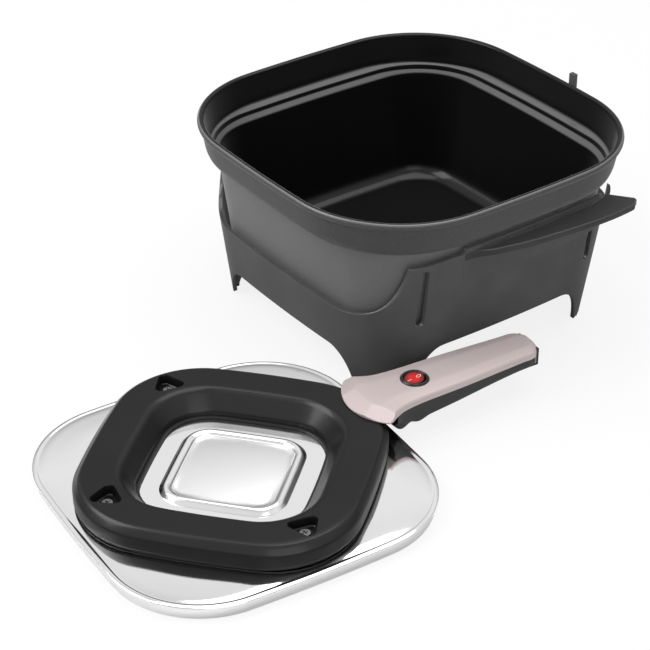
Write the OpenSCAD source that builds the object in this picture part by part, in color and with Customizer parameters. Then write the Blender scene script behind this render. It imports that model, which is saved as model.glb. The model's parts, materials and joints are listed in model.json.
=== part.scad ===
// Square electric skillet: a moulded stand on four corner legs, a deep cast pan that
// drops into it, and a heated lid that lies in front with a switch in its handle.
// Millimetres, +Z up, worktop at z = 0. Origin: centre of the whole row on the worktop.

/* [Pan] */
// Half width over the rolled rim
pan_half = 154; // [148:1:160]
// Corner radius of the rim
pan_corner = 99; // [92:1:104]
// Height of the rim above the worktop
rim_z = 166; // [158:1:175]
// Corner radius of the body under the shoulder
body_corner = 56; // [52:1:60]
// Wall thickness of the casting
pan_wall = 3; // [2.6:0.1:3.6]
// Height of the flared band under the rim
band_high = 27; // [24:1:30]
// How much narrower the band is at its foot
band_lean = 4; // [2:0.5:6]
// How much narrower the body is at its foot
body_draft = 13; // [11:0.5:14]
// Fillet between body and base
base_fillet = 20; // [16:1:24]

/* [Stand] */
// How far the pan's rim overhangs the wall
overhang = 17; // [16:0.5:18]
// How much narrower the stand is at its feet
stand_draft = 11; // [9:0.5:13]
// Corner radius of the wall at its top
top_corner = 58; // [52:1:62]
// Corner radius of the legs at the worktop
foot_corner = 64; // [58:1:68]
// Wall thickness of the moulding
stand_wall = 3.5; // [3:0.1:4]
// Gap between the top of the side walls and the shoulder of the pan
wall_gap = 9; // [6:0.5:12]
// How far the wall rises behind a grip as a lip
lip = 4; // [3:0.5:5]
// Clearance between the walls and the body of the pan
pan_gap = 2.5; // [2:0.1:4]
// Height of the low front wall
front_high = 68; // [62:1:76]
// Height of the back wall
back_high = 102; // [94:1:110]
// Crown height of the front and back arches
front_arch = 31; // [26:1:34]
// Crown height of the side arches
side_arch = 38; // [34:1:42]
// Width of a leg beside its corner
leg_w = 32; // [28:1:36]
// Height of the top of the lugs that carry the pan
lug_z = 31.7; // [29:0.1:34]
// Thickness of a lug
lug_t = 4; // [3:0.5:5]
// Width of a lug
lug_w = 26; // [20:1:30]
// Length of a lug from the wall's outer face
lug_long = 44; // [42:1:48]
// Width of a hook slot
slot_w = 7; // [6:0.5:8]
// Distance of the hook slots from the corners
slot_in = 50; // [48:1:52]
// Height of the foot of a hook slot
slot_low = 64; // [60:1:68]

/* [Side grips] */
// Reach of a grip past the wall at its widest
grip_reach = 20; // [16:1:22]
// Reach of a grip at its front end
grip_start = 1; // [0.8:0.1:1.5]
// Where a grip starts, from the middle
grip_front = -50; // [-56:1:-46]
// Distance of the free tip of a grip from the back corner
grip_back = 20; // [16:1:26]
// Thickness of the grip's flange
flange_t = 6; // [5:0.5:7]
// Thickness of the apron on the wall
apron_t = 3; // [2.5:0.1:3.5]
// Height of the apron below the flange
apron_high = 20; // [18:1:23]

/* [Lid] */
// How much smaller the brim is than the pan's rim, to each side
lid_in = 21.5; // [21:0.5:22.5]
// Corner radius of the brim
lid_corner = 76; // [70:1:82]
// Thickness of the pressed sheet
sheet_t = 1.2; // [1:0.1:1.5]
// Height of the brim's skirt
skirt_high = 9; // [8:0.5:10]
// Height of the flat top of the plate
plate_z = 13; // [12.5:0.5:14]
// Half width of the flat square boss
boss_half = 39; // [36:1:42]
// Width of the rolled frame round the boss
boss_frame = 9; // [7:0.5:10]
// Height of that frame above the plate
boss_high = 4; // [3:0.5:5]

/* [Ring] */
// Distance of the ring's corners from the edge of the brim
ring_in = 7; // [6:0.5:9]
// Corner radius of the ring
ring_corner = 70; // [66:1:74]
// Height of the ring's top
ring_top = 33; // [32:0.5:35]
// Width of the ring from its outside to the opening
ring_w = 33; // [31:0.5:35]
// How much narrower the opening is at the plate
funnel = 13; // [11:0.5:15]
// Corner radius of the opening at the plate
opening_corner = 35; // [32:1:38]
// Thickness of the base under the ring
base_t = 1.8; // [1.5:0.1:2.1]
// Thickness of the ring's walls
ring_wall = 3; // [2.6:0.1:3.4]
// Distance of the screw recesses from the ring's corners
recess_in = 22; // [20:0.5:24]
// Radius of a recess's rounded corners
recess_round = 4; // [3.5:0.5:4.5]
// Height of a recess's floor
recess_floor = 24.5; // [23:0.5:26]

/* [Handle] */
// How far the nose of the handle reaches over the ring's corner
nose_over = 24; // [22:0.5:26]
// Length of the handle
handle_long = 168; // [164:1:174]
// Half width of the nose between its corners
nose_half = 33; // [32:0.5:34]
// Depth of the nose's front arc
nose_deep = 15; // [14:0.5:16]
// Width of the facets that fall to the nose's front edge
facet_w = 12; // [11:0.5:12.5]
// Half width at the switch
neck_half = 22; // [21:0.5:23]
// Half width at the far end
tail_half = 17.5; // [16.5:0.5:18]
// Height of the cover's crown above its edge
crown = 7; // [6:0.5:8]
// How much lower the cover's long edges are than its crown
crown_fall = 1.8; // [1.2:0.2:2.4]
// How far the cover wraps down over the handle's end
wrap = 7; // [5:0.5:7]
// Depth of the body below the cover
body_deep = 14; // [13:0.5:15]
// Extra depth of the two feet behind the nose
foot_deep = 3; // [2:0.5:4]
// Wall thickness of cover and body
handle_wall = 2.2; // [2:0.1:2.6]
// Thickness of the steel strap
strap_t = 2; // [1.6:0.1:2.2]
// Width of the steel strap
strap_w = 24; // [20:1:26]

/* [Switch] */
// Distance of the switch from the nose of the handle
switch_back = 59; // [57:1:62]
// Diameter of the bezel
bezel_d = 23; // [22:0.5:24]
// Diameter of the cut-out for the switch
switch_cut = 20.2; // [19.8:0.1:20.6]
// Diameter of the rocker
rocker_d = 16; // [15:0.5:16.5]
// Diameter of the rocker's pivot pin
pivot_d = 2.4; // [2:0.1:3]
// Tilt of the rocker to each side
rocker_tilt = 8; // [6:0.5:9]

/* [Inlet] */
// Width of the inlet block
inlet_w = 26; // [25:0.5:27]
// Height of the inlet block
inlet_high = 15; // [14:0.5:15.5]
// Length of the inlet block
inlet_long = 20; // [18:1:22]
// Depth of the socket
socket_deep = 15; // [14:0.5:16]
// Wall round the socket
socket_wall = 1.6; // [1.4:0.1:2]

/* [Heater] */
// Distance of the heater's ends from the ring's corner
heater_in = 32; // [30:0.5:34]
// Bend radius of the heater's corners
heater_bend = 40; // [34:1:46]
// Diameter of the heater tube
heater_d = 6.4; // [6:0.1:6.6]
// Half distance between the heater's ends
heater_gap = 24; // [22:1:26]

/* [Layout] */
// How far the lid's middle lies beyond the stand's side
lid_out = 4; // [3:0.5:8]
// Gap between the stand's front and the brim of the lid
lid_gap = 3; // [2:0.5:10]
// Turn of the lid on the worktop
lid_turn = -4.8; // [-7:0.1:-4.5]

/* [Fits] */
// Clearance between pieces that are fixed together
fit = 0.3; // [0.2:0.05:0.4]
// Clearance round a screw's shank
screw_fit = 0.2; // [0.15:0.05:0.3]
// Shank diameter of the screws
screw_d = 3.8; // [3:0.1:4]
// Head diameter of the screws
head_d = 8; // [7:0.5:9]
// Head height of the screws
head_t = 2; // [1.8:0.1:2.4]

/* [Hidden] */

$fn = 48;
side_bow = 1500;      // bow radius of the sides of pan, lid and stand
ring_bow = 700;       // bow radius of the ring's sides
side_steps = 5;       // facets along one bowed side
corner_steps = 9;     // facets round one corner
past = 20;            // how far a cutting tool runs past what it cuts

foot_t = 2;           // rubber under each leg
pad_t = 3;            // silicone pad on each lug
bead_r = 3;           // rolled bead round the rim of the pan
pan_base = lug_z + pad_t + fit;
band_z = rim_z - 5 - band_high;
ledge_z = band_z + 6;
wall_high = band_z - wall_gap;
top_half = pan_half - overhang;
foot_half = top_half - stand_draft;
leg_edge = foot_half - leg_w;
slot_y = top_half - slot_in;
grip_tip = top_half - grip_back;
shoulder_w = pan_half - bead_r - band_lean - (top_half - stand_wall - pan_gap);

grip_top = wall_high - lip;
grip_edge = top_half + fit;
scoop = 24;                   // length over which the apron grows out of the wall
apron_from = grip_tip - 30;   // where the apron starts to thin out
apron_to = grip_tip - 16;     // where it has ended
rise_from = top_half - 30;    // where the front wall has risen half way
rise_to = top_half - 38;      // where it meets the side wall
fall_from = top_half - 42;    // where the side wall starts to fall to the back wall
fall_to = top_half - 26;

lid_half = pan_half - lid_in;
ring_reach = lid_half - ring_in;
ring_half = ring_corner + (ring_reach - ring_corner) / sqrt(2);
opening_top = ring_half - ring_w;
opening_low = opening_top - funnel;
recess_at = ring_reach - recess_in;
recess_reach = 8;     // from a recess's middle to its rounded corners
boss_corner = 12;
nose_at = ring_reach - nose_over;
end_at = nose_at + handle_long;
switch_at = nose_at + switch_back;
heater_half = ring_reach - heater_in;
sheet_in = 16;        // how far the reflector stays inside the brim

ring_z = plate_z + fit + base_t + fit / 3;
split_z = ring_top + fit + 0.2;
crown_z = split_z + crown;
seat_z = crown_z - 0.9;
body_z = split_z - body_deep;
strap_z = ring_top + fit;
inlet_z = split_z - 3;
heater_z = heater_d / 2 + 2.6;
reflector_z = plate_z - sheet_t - fit - 0.6;
bush_d = heater_d + 1.6;
cold_end = ring_z + 4;
cutout_d = 14;
cutout_at = (ring_half - 16) / sqrt(2);
lead_d = 2.4;
lead_z = split_z - 6;
lead_x = 5.2;
tube_d = 7;

body_at = ring_reach + 3;
body_top = split_z - 0.1;
strap_screw_y = ring_reach - 8;
strap_screw_x = 11;
strap_head = 31;      // width of the strap where it is screwed to the ring
strap_fix = body_at + 12;
cover_fix = [switch_at + 38, end_at - inlet_long - 17];
recess_turn = 82;

mouth_r = rocker_d / 2 + 0.8;
pivot_z = seat_z - 2.5;
rocker_high = 4.4;
can_high = 16.5;
can_deep = 9;

// Centre of the row: the lid's brim, a grip's edge and the post set its four sides.
post_t = 4;
post_out = pan_half + post_t + 4;
lid_side = top_half + lid_out;
lid_front = top_half + lid_half + lid_gap;
lid_reach = (lid_half - lid_corner) * (cos(lid_turn) + abs(sin(lid_turn))) + lid_corner;
grip_side = grip_edge + grip_reach;
row_x = (lid_side + lid_reach - grip_side) / 2;
row_y = (post_out - lid_front - lid_reach) / 2;

module at_stand() translate([-row_x, -row_y, 0]) children();
module at_lid() translate([lid_side - row_x, -lid_front - row_y, 0]) rotate(lid_turn) children();

// ---- Outlines and lofts ----

function turned(p, a) = [p.x * cos(a) - p.y * sin(a), p.x * sin(a) + p.y * cos(a)];

// Square with round corners and slightly bowed sides, anticlockwise, tangent all round.
function outline(half, corner, bow = side_bow) =
    let (a = half - bow,
         c = (2 * a + sqrt(4 * a * a - 8 * (a * a - pow(bow - corner, 2)))) / 4,
         lean = atan2(c, c - a))
    [for (quarter = [0:3], i = [0:side_steps + corner_steps - 1])
        let (t = i < side_steps ? lean * (2 * i / side_steps - 1)
                 : lean + (90 - 2 * lean) * (i - side_steps) / corner_steps)
        turned(i < side_steps ? [a + bow * cos(t), bow * sin(t)]
                              : [c + corner * cos(t), c + corner * sin(t)], 90 * quarter)];

function raised(points, z) = [for (p = points) [p.x, p.y, z]];

// Skin over rings of equally many points. A closed loft joins the last ring to the first.
module loft(rings, closed = false) {
    n = len(rings[0]);
    m = len(rings);
    skin = [for (k = [0:(closed ? m - 1 : m - 2)], i = [0:n - 1], upper = [0:1])
        let (a = k * n + i, b = k * n + (i + 1) % n,
             c = (k + 1) % m * n + i, d = (k + 1) % m * n + (i + 1) % n)
        upper == 0 ? [a, c, b] : [b, c, d]];
    ends = closed ? [] : [[for (i = [0:n - 1]) i], [for (i = [n - 1:-1:0]) (m - 1) * n + i]];
    polyhedron(points = [for (ring = rings) each ring], faces = concat(skin, ends),
               convexity = 8);
}

// Quadratic curve from a to c that leans towards b.
function bend(a, b, c, steps = 8) =
    [for (i = [0:steps]) let (t = i / steps)
        (1 - t) * (1 - t) * a + 2 * t * (1 - t) * b + t * t * c];

// Smooth curve through points whose first members rise: value at x.
function slope(p, i) =
    i == 0 || i == len(p) - 1 ? 0
    : (p[i + 1].y - p[i - 1].y) / (p[i + 1].x - p[i - 1].x);
function through(p, x, i = 0) =
    i < len(p) - 2 && x > p[i + 1].x ? through(p, x, i + 1)
    : let (w = p[i + 1].x - p[i].x, t = (x - p[i].x) / w, u = 1 - t)
      p[i].y * (1 + 2 * t) * u * u + slope(p, i) * w * t * u * u
      + p[i + 1].y * t * t * (1 + 2 * u) - slope(p, i + 1) * w * t * t * u;

// ---- Stand ----

function half_at(z) = foot_half + (top_half - foot_half) * z / wall_high;
function corner_at(z) = foot_corner + (top_corner - foot_corner) * z / wall_high;
function wall_ring(z, inset) = raised(outline(half_at(z) - inset, corner_at(z) - inset), z);

// How far out the wall's outer face lies at a distance along the side.
function wall_x(along, z) = half_at(z) - along * along / (2 * side_bow);

// Leg arch between a leg's edge and the crown, seen from the front of a wall.
module arch(high) {
    side = bend([leg_edge, foot_t - past], [leg_edge - 2, high], [leg_edge - 26, high]);
    polygon(concat(side, [for (i = [len(side) - 1:-1:0]) [-side[i].x, side[i].y]]));
}

// Everything above the top edge of the wall, seen from the side of the stand.
module above_wall() {
    over = wall_high + past;
    front = bend([-top_half, front_high + 2], [-rise_from, front_high + 6],
                 [-rise_to, grip_top], 10);
    back = bend([fall_from, wall_high], [fall_to, back_high + 4], [top_half, back_high]);
    polygon(concat([[-top_half - past, front_high]], front,
                   [[grip_front - 1, grip_top], [grip_front, wall_high], [grip_front, over],
                    [-top_half - past, over]]));
    polygon(concat(back, [[top_half + past, back_high], [top_half + past, over],
                          [fall_from, over]]));
}

module hook_slot() {
    hull() for (z = [slot_low + slot_w / 2, wall_high + past])
        translate([top_half - past, 0, z]) rotate([0, 90, 0])
            cylinder(d = slot_w, h = 2 * past);
}

module across_x(length) rotate([90, 0, 90]) linear_extrude(length, center = true) children();
module across_y(length) rotate([90, 0, 0]) linear_extrude(length, center = true) children();

// Where the grips and the post are screwed on: height on the wall.
fix_z = grip_top - flange_t / 2;
grip_fix = [-8, 58];
post_x = 22;
post_fix_z = 74;

module grip_holes(d) {
    for (y = grip_fix) translate([half_at(fix_z) - past, y, fix_z])
        rotate([0, 90, 0]) cylinder(d = d, h = 2 * past);
}

// Distance from the middle to a corner of the wall at the lugs' height.
lug_reach = (half_at(lug_z) - corner_at(lug_z)) * sqrt(2) + corner_at(lug_z);

// Shelf in a corner that carries the pan, with a rib below it.
module lug() {
    root = lug_reach - stand_wall / 2;
    translate([lug_reach - lug_long, -lug_w / 2, lug_z - lug_t])
        cube([lug_long - stand_wall / 2, lug_w, lug_t]);
    translate([0, 1.5, 0]) rotate([90, 0, 0]) linear_extrude(3)
        polygon([[lug_reach - lug_long + 4, lug_z - lug_t], [root, lug_z - lug_t],
                 [root - 1, lug_z - 22]]);
}

module stand_shell() at_stand() color("#3a3a3c") {
    difference() {
        loft([wall_ring(foot_t, 0), wall_ring(wall_high, 0)]);
        loft([wall_ring(foot_t - 1, stand_wall), wall_ring(wall_high + 1, stand_wall)]);
        across_y(4 * top_half) arch(front_arch);
        across_x(4 * top_half) arch(side_arch);
        across_x(4 * top_half) above_wall();
        for (side = [0, 1], y = [-slot_y, slot_y]) mirror([side, 0, 0])
            translate([0, y, 0]) hook_slot();
        for (side = [0, 1]) mirror([side, 0, 0]) grip_holes(screw_d + 2 * screw_fit);
        translate([post_x, half_at(post_fix_z) - past, post_fix_z]) rotate([-90, 0, 0])
            cylinder(d = screw_d + 2 * screw_fit, h = 2 * past);
    }
    for (a = [45:90:315]) rotate(a) lug();
}

// Flange edge of a grip: a crescent from a small step to a round tip.
function grip_width(y) = through([[grip_front, grip_start], [-20, grip_reach - 12],
    [10, grip_reach - 6], [70, grip_reach], [grip_tip - 7, grip_reach - 3], [grip_tip, grip_reach - 12]], y);

function grip_section(y) =
    let (x = grip_edge, w = grip_width(y), low = grip_top - flange_t, c = min(1.5, w / 3),
         apron = min(apron_t, w / 2, w / 2 + (y - grip_front) / scoop * apron_t),
         tail = max(0, (y - apron_from) / (apron_to - apron_from)),
         hang = apron_high * sqrt(max(0.02, 1 - tail * tail)))
    [for (p = [[0, grip_top], [w - c, grip_top], [w, grip_top - c], [w, low + c],
               [w - c, low], [apron, low], [apron, low - hang], [0, low - hang]])
        [x + p.x, y, p.y]];

module grip() {
    run = (apron_from - grip_front) / 15;
    stations = concat([for (k = [0:15]) grip_front + k * run],
                      [for (share = [0.3, 0.55, 0.75, 0.9, 1])
                          apron_from + share * (apron_to - apron_from)],
                      [for (a = [-60:20:90]) grip_tip - 7 + 7 * sin(a)]);
    difference() {
        loft([for (y = stations) grip_section(y)]);
        for (y = grip_fix) translate([grip_edge - 1, y, fix_z]) rotate([0, 90, 0])
            cylinder(d = screw_d + 2 * screw_fit, h = 8);
    }
}

module side_grip_right() at_stand() color("#2e2e30") grip();
module side_grip_left() at_stand() color("#2e2e30") mirror([1, 0, 0]) grip();

// Screw along +Z from its head at z = 0, with a cross slot in the head.
module screw(long) {
    difference() {
        union() {
            translate([0, 0, -head_t]) cylinder(d = head_d, h = head_t);
            translate([0, 0, -head_t / 2]) cylinder(d = screw_d, h = long + head_t / 2);
        }
        for (a = [0, 90]) rotate(a) translate([-2.4, -0.5, -head_t - 1]) cube([4.8, 1, 2.2]);
    }
}

module grip_screws() at_stand() color("silver")
    for (side = [0, 1]) mirror([side, 0, 0]) for (y = grip_fix)
        translate([wall_x(y, fix_z) - stand_wall - 2 * fit, y, fix_z]) rotate([0, 90, 0])
            screw(stand_wall + 6);

module pan_rest_pads() at_stand() color("#555555")
    for (a = [45:90:315]) rotate(a) translate([lug_reach - lug_long + 8, 0, lug_z])
        cylinder(d = 12, h = pad_t);

// A strip of rubber under each corner leg.
module foot_pads() at_stand() color("#1c1c1c")
    for (a = [0:90:270]) rotate(a) linear_extrude(foot_t) intersection() {
        difference() {
            polygon(outline(half_at(foot_t) - 0.3, corner_at(foot_t) - 0.3));
            polygon(outline(half_at(foot_t) - 6, corner_at(foot_t) - 6));
        }
        translate([leg_edge, leg_edge]) square(past * 3);
    }

module lid_rest_post() at_stand() color("#2e2e30") difference() {
    foot = 66;
    knee = 90;
    translate([post_x, 0, 0]) across_x(6) polygon([
        [half_at(foot) + fit, foot], [half_at(knee) + fit, knee], [post_out - post_t, knee + 46],
        [post_out - post_t, rim_z + 5], [post_out, rim_z + 5], [post_out, knee + 44],
        [half_at(knee) + 4.4, knee - 3], [half_at(foot) + 4.4, foot]]);
    translate([post_x, half_at(post_fix_z) - 1, post_fix_z]) rotate([-90, 0, 0])
        cylinder(d = screw_d + 2 * screw_fit, h = past);
}

module post_screw() at_stand() color("silver")
    translate([post_x, wall_x(post_x, post_fix_z) - stand_wall - 2 * fit, post_fix_z])
        rotate([-90, 0, 0]) screw(stand_wall + 3.6);

// ---- Pan ----

// A ring of the pan: its corners turn from the rim's to the body's across the shoulder.
function pan_ring(inset, z) =
    let (band = bead_r + band_lean,
         across = min(1, max(0, (inset - band) / shoulder_w)),
         turn = pan_corner + (body_corner + band + shoulder_w - pan_corner) * across)
    raised(outline(pan_half - inset, turn - inset), z);

module pan() at_stand() color("#48484a") {
    band_foot = bead_r + band_lean;
    waist = band_foot + shoulder_w;
    foot = waist + body_draft;
    floor_r = base_fillet - pan_wall;
    fillet_z = pan_base + base_fillet;
    outside = concat(
        [for (t = [0:22.5:90]) [foot + base_fillet * (1 - sin(t)), fillet_z - base_fillet * cos(t)]],
        [[waist, band_z - 1.5]],
        [for (t = [90:-22.5:0]) [waist - shoulder_w * cos(t), band_z + 8 * (1 - sin(t))]],
        [[bead_r, rim_z - 2 * bead_r]]);
    rim = [for (t = [-60:40:180]) bead_r * [1 - cos(t), sin(t) - 1] + [0, rim_z]];
    ledge = [[6 + band_lean - 0.5, ledge_z + 4], [band_foot + 4.5, ledge_z + 0.6],
        [band_foot + 6.5, ledge_z], [band_foot + 10, ledge_z - 0.2], [band_foot + 11, ledge_z - 1.8],
        [waist - 0.6, ledge_z - 2.2], [waist + pan_wall - 1, ledge_z - 3.2],
        [waist + pan_wall, ledge_z - 6]];
    inside = [for (t = [90:-22.5:0])
        [foot + pan_wall + floor_r * (1 - sin(t)), fillet_z - floor_r * cos(t)]];
    loft([for (p = concat(outside, rim, ledge, inside)) pan_ring(p.x, p.y)]);
}

// ---- Lid: pressed plate and heater ----

function lid_ring(inset, z) = raised(outline(lid_half - inset, lid_corner - inset), z);

module screw_places() for (a = [90:90:270]) rotate(a) translate([0, recess_at, 0]) children();
module terminal_places() for (x = [-heater_gap, heater_gap]) translate([x, heater_half, 0])
    children();

module lid_plate() at_lid() color("#d9dadc") difference() {
    union() {
        top = [[2.4, 0.6], [2.4, skirt_high - 1], [0.6, skirt_high], [0, skirt_high + 1],
            [0.6, skirt_high + 2], [2.6, skirt_high + 2.5], [6.5, skirt_high + 2.4],
            [7.5, skirt_high + 1.9], [8.5, skirt_high + 2.4], [13, plate_z]];
        under = [[14, plate_z - sheet_t], [9.5, skirt_high + 2.4 - sheet_t],
            [3.2, skirt_high + 2.4 - sheet_t], [2.4 + sheet_t, skirt_high - 0.6],
            [2.4 + sheet_t, 0], [2.4, 0]];
        loft([for (p = concat(under, top)) lid_ring(p.x, p.y)]);
        rotate(45) boss();
    }
    screw_places() translate([0, 0, -past]) cylinder(d = screw_d + 2 * screw_fit, h = 3 * past);
    terminal_places() translate([0, 0, -past]) cylinder(d = bush_d + 2 * screw_fit, h = 3 * past);
}

// Raised square in the middle of the plate: rolled frame round a flat panel.
module boss() {
    outer = boss_half + boss_frame;
    frame = [[outer + 1, plate_z - sheet_t / 2], [outer, plate_z + 0.4],
        [outer - boss_frame * 0.25, plate_z + boss_high * 0.8],
        [outer - boss_frame * 0.5, plate_z + boss_high],
        [outer - boss_frame * 0.8, plate_z + boss_high * 0.7],
        [boss_half, plate_z + boss_high * 0.45]];
    loft([for (p = frame) raised(outline(p.x, boss_corner + p.x - boss_half), p.y)]);
}

module reflector() at_lid() color("silver") difference() {
    translate([0, 0, reflector_z]) linear_extrude(0.6)
        polygon(outline(lid_half - sheet_in, lid_corner - sheet_in));
    terminal_places() cylinder(d = bush_d + 2 * screw_fit, h = past);
    screw_places() cylinder(d = screw_d + 2, h = past);
}

// Straight round bar from one point to another.
module bar(from, to, d) {
    way = to - from;
    translate(from) rotate([0, acos(way.z / norm(way)), atan2(way.y, way.x)])
        cylinder(d = d, h = norm(way), $fn = 24);
}

module heating_element() at_lid() color("#7c7f80") {
    flat = heater_half - heater_bend;
    translate([0, 0, heater_z]) {
        for (a = [0:90:270]) rotate(a) translate([flat, flat, 0]) rotate_extrude(angle = 90)
            translate([heater_bend, 0]) circle(d = heater_d, $fn = 24);
        for (a = [180, 270, 0]) rotate(a) bar([heater_half, -flat, 0], [heater_half, flat, 0], heater_d);
        for (side = [-1, 1]) {
            bar([side * flat, heater_half, 0], [side * heater_gap, heater_half, 0], heater_d);
            translate([side * heater_gap, heater_half, 0]) sphere(d = heater_d, $fn = 24);
            bar([side * heater_gap, heater_half, 0],
                [side * heater_gap, heater_half, cold_end - heater_z], heater_d);
        }
    }
}

module element_clips() at_lid() color("silver")
    for (a = [90, 180, 270]) rotate(a) for (x = [-26, 26])
        translate([x, heater_half, 0]) rotate([90, 0, 90]) linear_extrude(8, center = true)
            difference() {
                union() {
                    translate([0, heater_z]) circle(d = heater_d + 3);
                    translate([-3, heater_z]) square([6, reflector_z - heater_z]);
                }
                translate([0, heater_z]) circle(d = heater_d + 2 * fit);
            }

// Ceramic bushes round the heater's cold ends, with a stud on each end.
module element_terminals() at_lid() color("#e8e4da") terminal_places() {
    difference() {
        union() {
            translate([0, 0, reflector_z]) cylinder(d = bush_d, h = ring_z + 2 - reflector_z);
            translate([0, 0, ring_z + fit]) cylinder(d = bush_d + 3, h = 2);
        }
        translate([0, 0, reflector_z - 1]) cylinder(d = heater_d + 2 * screw_fit, h = past);
    }
    translate([0, 0, cold_end]) cylinder(d = 3, h = lead_z - 1.5 - cold_end);
}

// ---- Lid: ring ----

function ring_r(half) = opening_corner
    + (ring_corner - opening_corner) * (half - opening_low) / (ring_half - opening_low);
function hoop(half, z) = raised(outline(half, ring_r(half), ring_bow), z);

module strap_screw_places() for (x = [-strap_screw_x, strap_screw_x])
    translate([x, strap_screw_y, 0]) children();

module ring_base() at_lid() color("#1a1a1a") translate([0, 0, plate_z + fit]) difference() {
    linear_extrude(base_t) rotate(45) difference() {
        polygon(outline(ring_half - 1.5, ring_r(ring_half - 1.5), ring_bow));
        polygon(outline(opening_low, opening_corner, ring_bow));
    }
    screw_places() translate([0, 0, -1]) cylinder(d = screw_d + 2 * screw_fit, h = past);
    terminal_places() translate([0, 0, -1]) cylinder(d = bush_d + 2 * screw_fit, h = past);
    translate([cutout_at, cutout_at, -1]) cylinder(d = cutout_d + 2 * fit, h = past);
}

// Rounded triangle of a screw recess; its sides move out by grow.
module recess_plan(grow) polygon([for (k = [0:2], s = [-60:15:60])
    let (a = 120 * k + recess_turn)
        recess_reach * [cos(a), sin(a)] + (recess_round + grow) * [cos(a + s), sin(a + s)]]);

module ring_housing() at_lid() color("#202021") difference() {
    union() {
        wall = ring_wall;
        skin = [[ring_half - 1, ring_z], [ring_half, ring_z + 1.5], [ring_half, ring_top - 6],
            [ring_half - 1.2, ring_top - 2.6], [ring_half - 3, ring_top - 0.8],
            [ring_half - 6, ring_top], [opening_top + 3, ring_top], [opening_top + 0.8, ring_top - 0.8],
            [opening_top - 1, ring_top - 3], [opening_low + 2.5, ring_z + 3],
            [opening_low + 2, ring_z], [opening_low + 2 + wall, ring_z],
            [opening_top + wall, ring_top - 4.5], [opening_top + 2 + wall, ring_top - wall],
            [ring_half - 4 - wall, ring_top - wall], [ring_half - wall, ring_top - 4 - wall],
            [ring_half - wall, ring_z]];
        rotate(45) loft([for (p = skin) hoop(p.x, p.y)], closed = true);
        for (a = [90:90:270]) rotate(a) translate([0, recess_at, ring_z])
            linear_extrude(ring_top - 1 - ring_z) recess_plan(2.2);
        strap_screw_places() translate([0, 0, ring_z]) cylinder(d = 8, h = ring_top - 1 - ring_z);
    }
    for (a = [90:90:270]) rotate(a) translate([0, recess_at, recess_floor])
        linear_extrude(past) recess_plan(0);
    for (a = [90:90:270]) rotate(a) translate([0, recess_at, 0])
        cylinder(d = screw_d + 2 * screw_fit, h = 2 * past);
    strap_screw_places() translate([0, 0, recess_floor]) cylinder(d = screw_d + 2 * screw_fit, h = past);
    lead_places() translate([0, strap_screw_y - 10, lead_z]) rotate([-90, 0, 0])
        cylinder(d = lead_d + 1, h = past);
}

module ring_screws() at_lid() color("silver") {
    for (a = [90:90:270]) rotate(a) translate([0, recess_at, recess_floor + fit / 3])
        rotate([180, 0, 0]) screw(recess_floor - plate_z + sheet_t + 1);
    strap_screw_places() translate([0, 0, strap_z + strap_t + fit / 3]) rotate([180, 0, 0])
        screw(strap_t + 6);
}

module thermal_cutout() at_lid() color("#b9a05a")
    translate([cutout_at, cutout_at, plate_z + fit]) {
        cylinder(d = cutout_d, h = 5);
        translate([0, 0, 5]) cylinder(d = cutout_d - 4, h = 3);
    }

// ---- Lid: handle ----

module lead_places() for (x = [-lead_x, lead_x]) translate([x, 0, 0]) children();

// Plan of the handle: an arc between two corners, then a hollow flare into a slender grip.
nose_r = (nose_half * nose_half + nose_deep * nose_deep) / (2 * nose_deep);
nose_edge = 0.8;      // height of the cover at the nose's front edge
facet_turn = 42;      // turn from one nose facet to the next
corner_y = nose_at + nose_deep;
wrap_t = 4;           // thickness of the cover's end
body_end = end_at - wrap_t - fit;
flare = nose_half - neck_half;
function handle_half(t) = through([[corner_y, nose_half], [corner_y + 12, neck_half + flare * 0.5],
    [corner_y + 19, neck_half + flare * 0.25], [corner_y + 31, neck_half + flare * 0.08],
    [switch_at, neck_half], [switch_at + 34, neck_half - 1], [end_at - 18, tail_half],
    [end_at - 8, tail_half - 0.4], [end_at - 3, tail_half - 3], [end_at, tail_half - 7]],
    max(t, corner_y));
function body_depth(t) = through([[body_at, body_deep - 5], [body_at + 8, body_deep + foot_deep],
    [body_at + 17, body_deep], [body_at + 26, body_deep + foot_deep],
    [body_at + 36, body_deep], [body_end, body_deep - 2]], t);

function blunt(v, power) = sign(v) * pow(abs(v), power);
// Half of the cover's section from its edge to the crease beside the flat crown.
function cover_side(t, inset) =
    let (w = handle_half(t) - inset, high = crown - inset, edge = high - crown_fall,
         lean = crown_fall / (w / 2))
    concat(bend([-w, edge - 2.5], [-w, edge], [-w + 3, edge + 3 * lean], 3),
           [[-w / 2, high]]);
function cover_section(t, inset, low) =
    let (side = cover_side(t, inset), w = handle_half(t) - inset)
    concat([[-w, t, low]], [for (p = side) [p.x, t, split_z + p.y]],
           [for (i = [len(side) - 1:-1:0]) [-side[i].x, t, split_z + side[i].y]],
           [[w, t, low]]);
function body_section(t, inset, top) =
    [for (a = [0:15:180]) [(handle_half(t) - 1 - inset) * blunt(cos(a), 0.6), t,
        min(top, body_top - (body_depth(t) - inset) * pow(sin(a), 0.5))]];

cover_stations = concat([nose_at - 1, corner_y], [for (k = [0:10]) corner_y + 1 + 3 * k],
    [for (k = [1:6]) switch_at + (end_at - 18 - switch_at) * k / 6],
    [for (d = [12, 8, 5, 3, 1.5, 0.5, 0]) end_at - d]);
heels_end = body_at + 36;
body_stations = concat([for (t = [body_at:4:heels_end]) t],
    [for (k = [1:6]) heels_end + (end_at - inlet_long - heels_end) * k / 6],
    [body_end - handle_wall - fit, body_end]);

module inlet_cut() translate([-inlet_w / 2 - fit, end_at - inlet_long - 1, inlet_z - inlet_high / 2 - fit])
    cube([inlet_w + 2 * fit, inlet_long + past, inlet_high + 2 * fit]);

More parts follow.
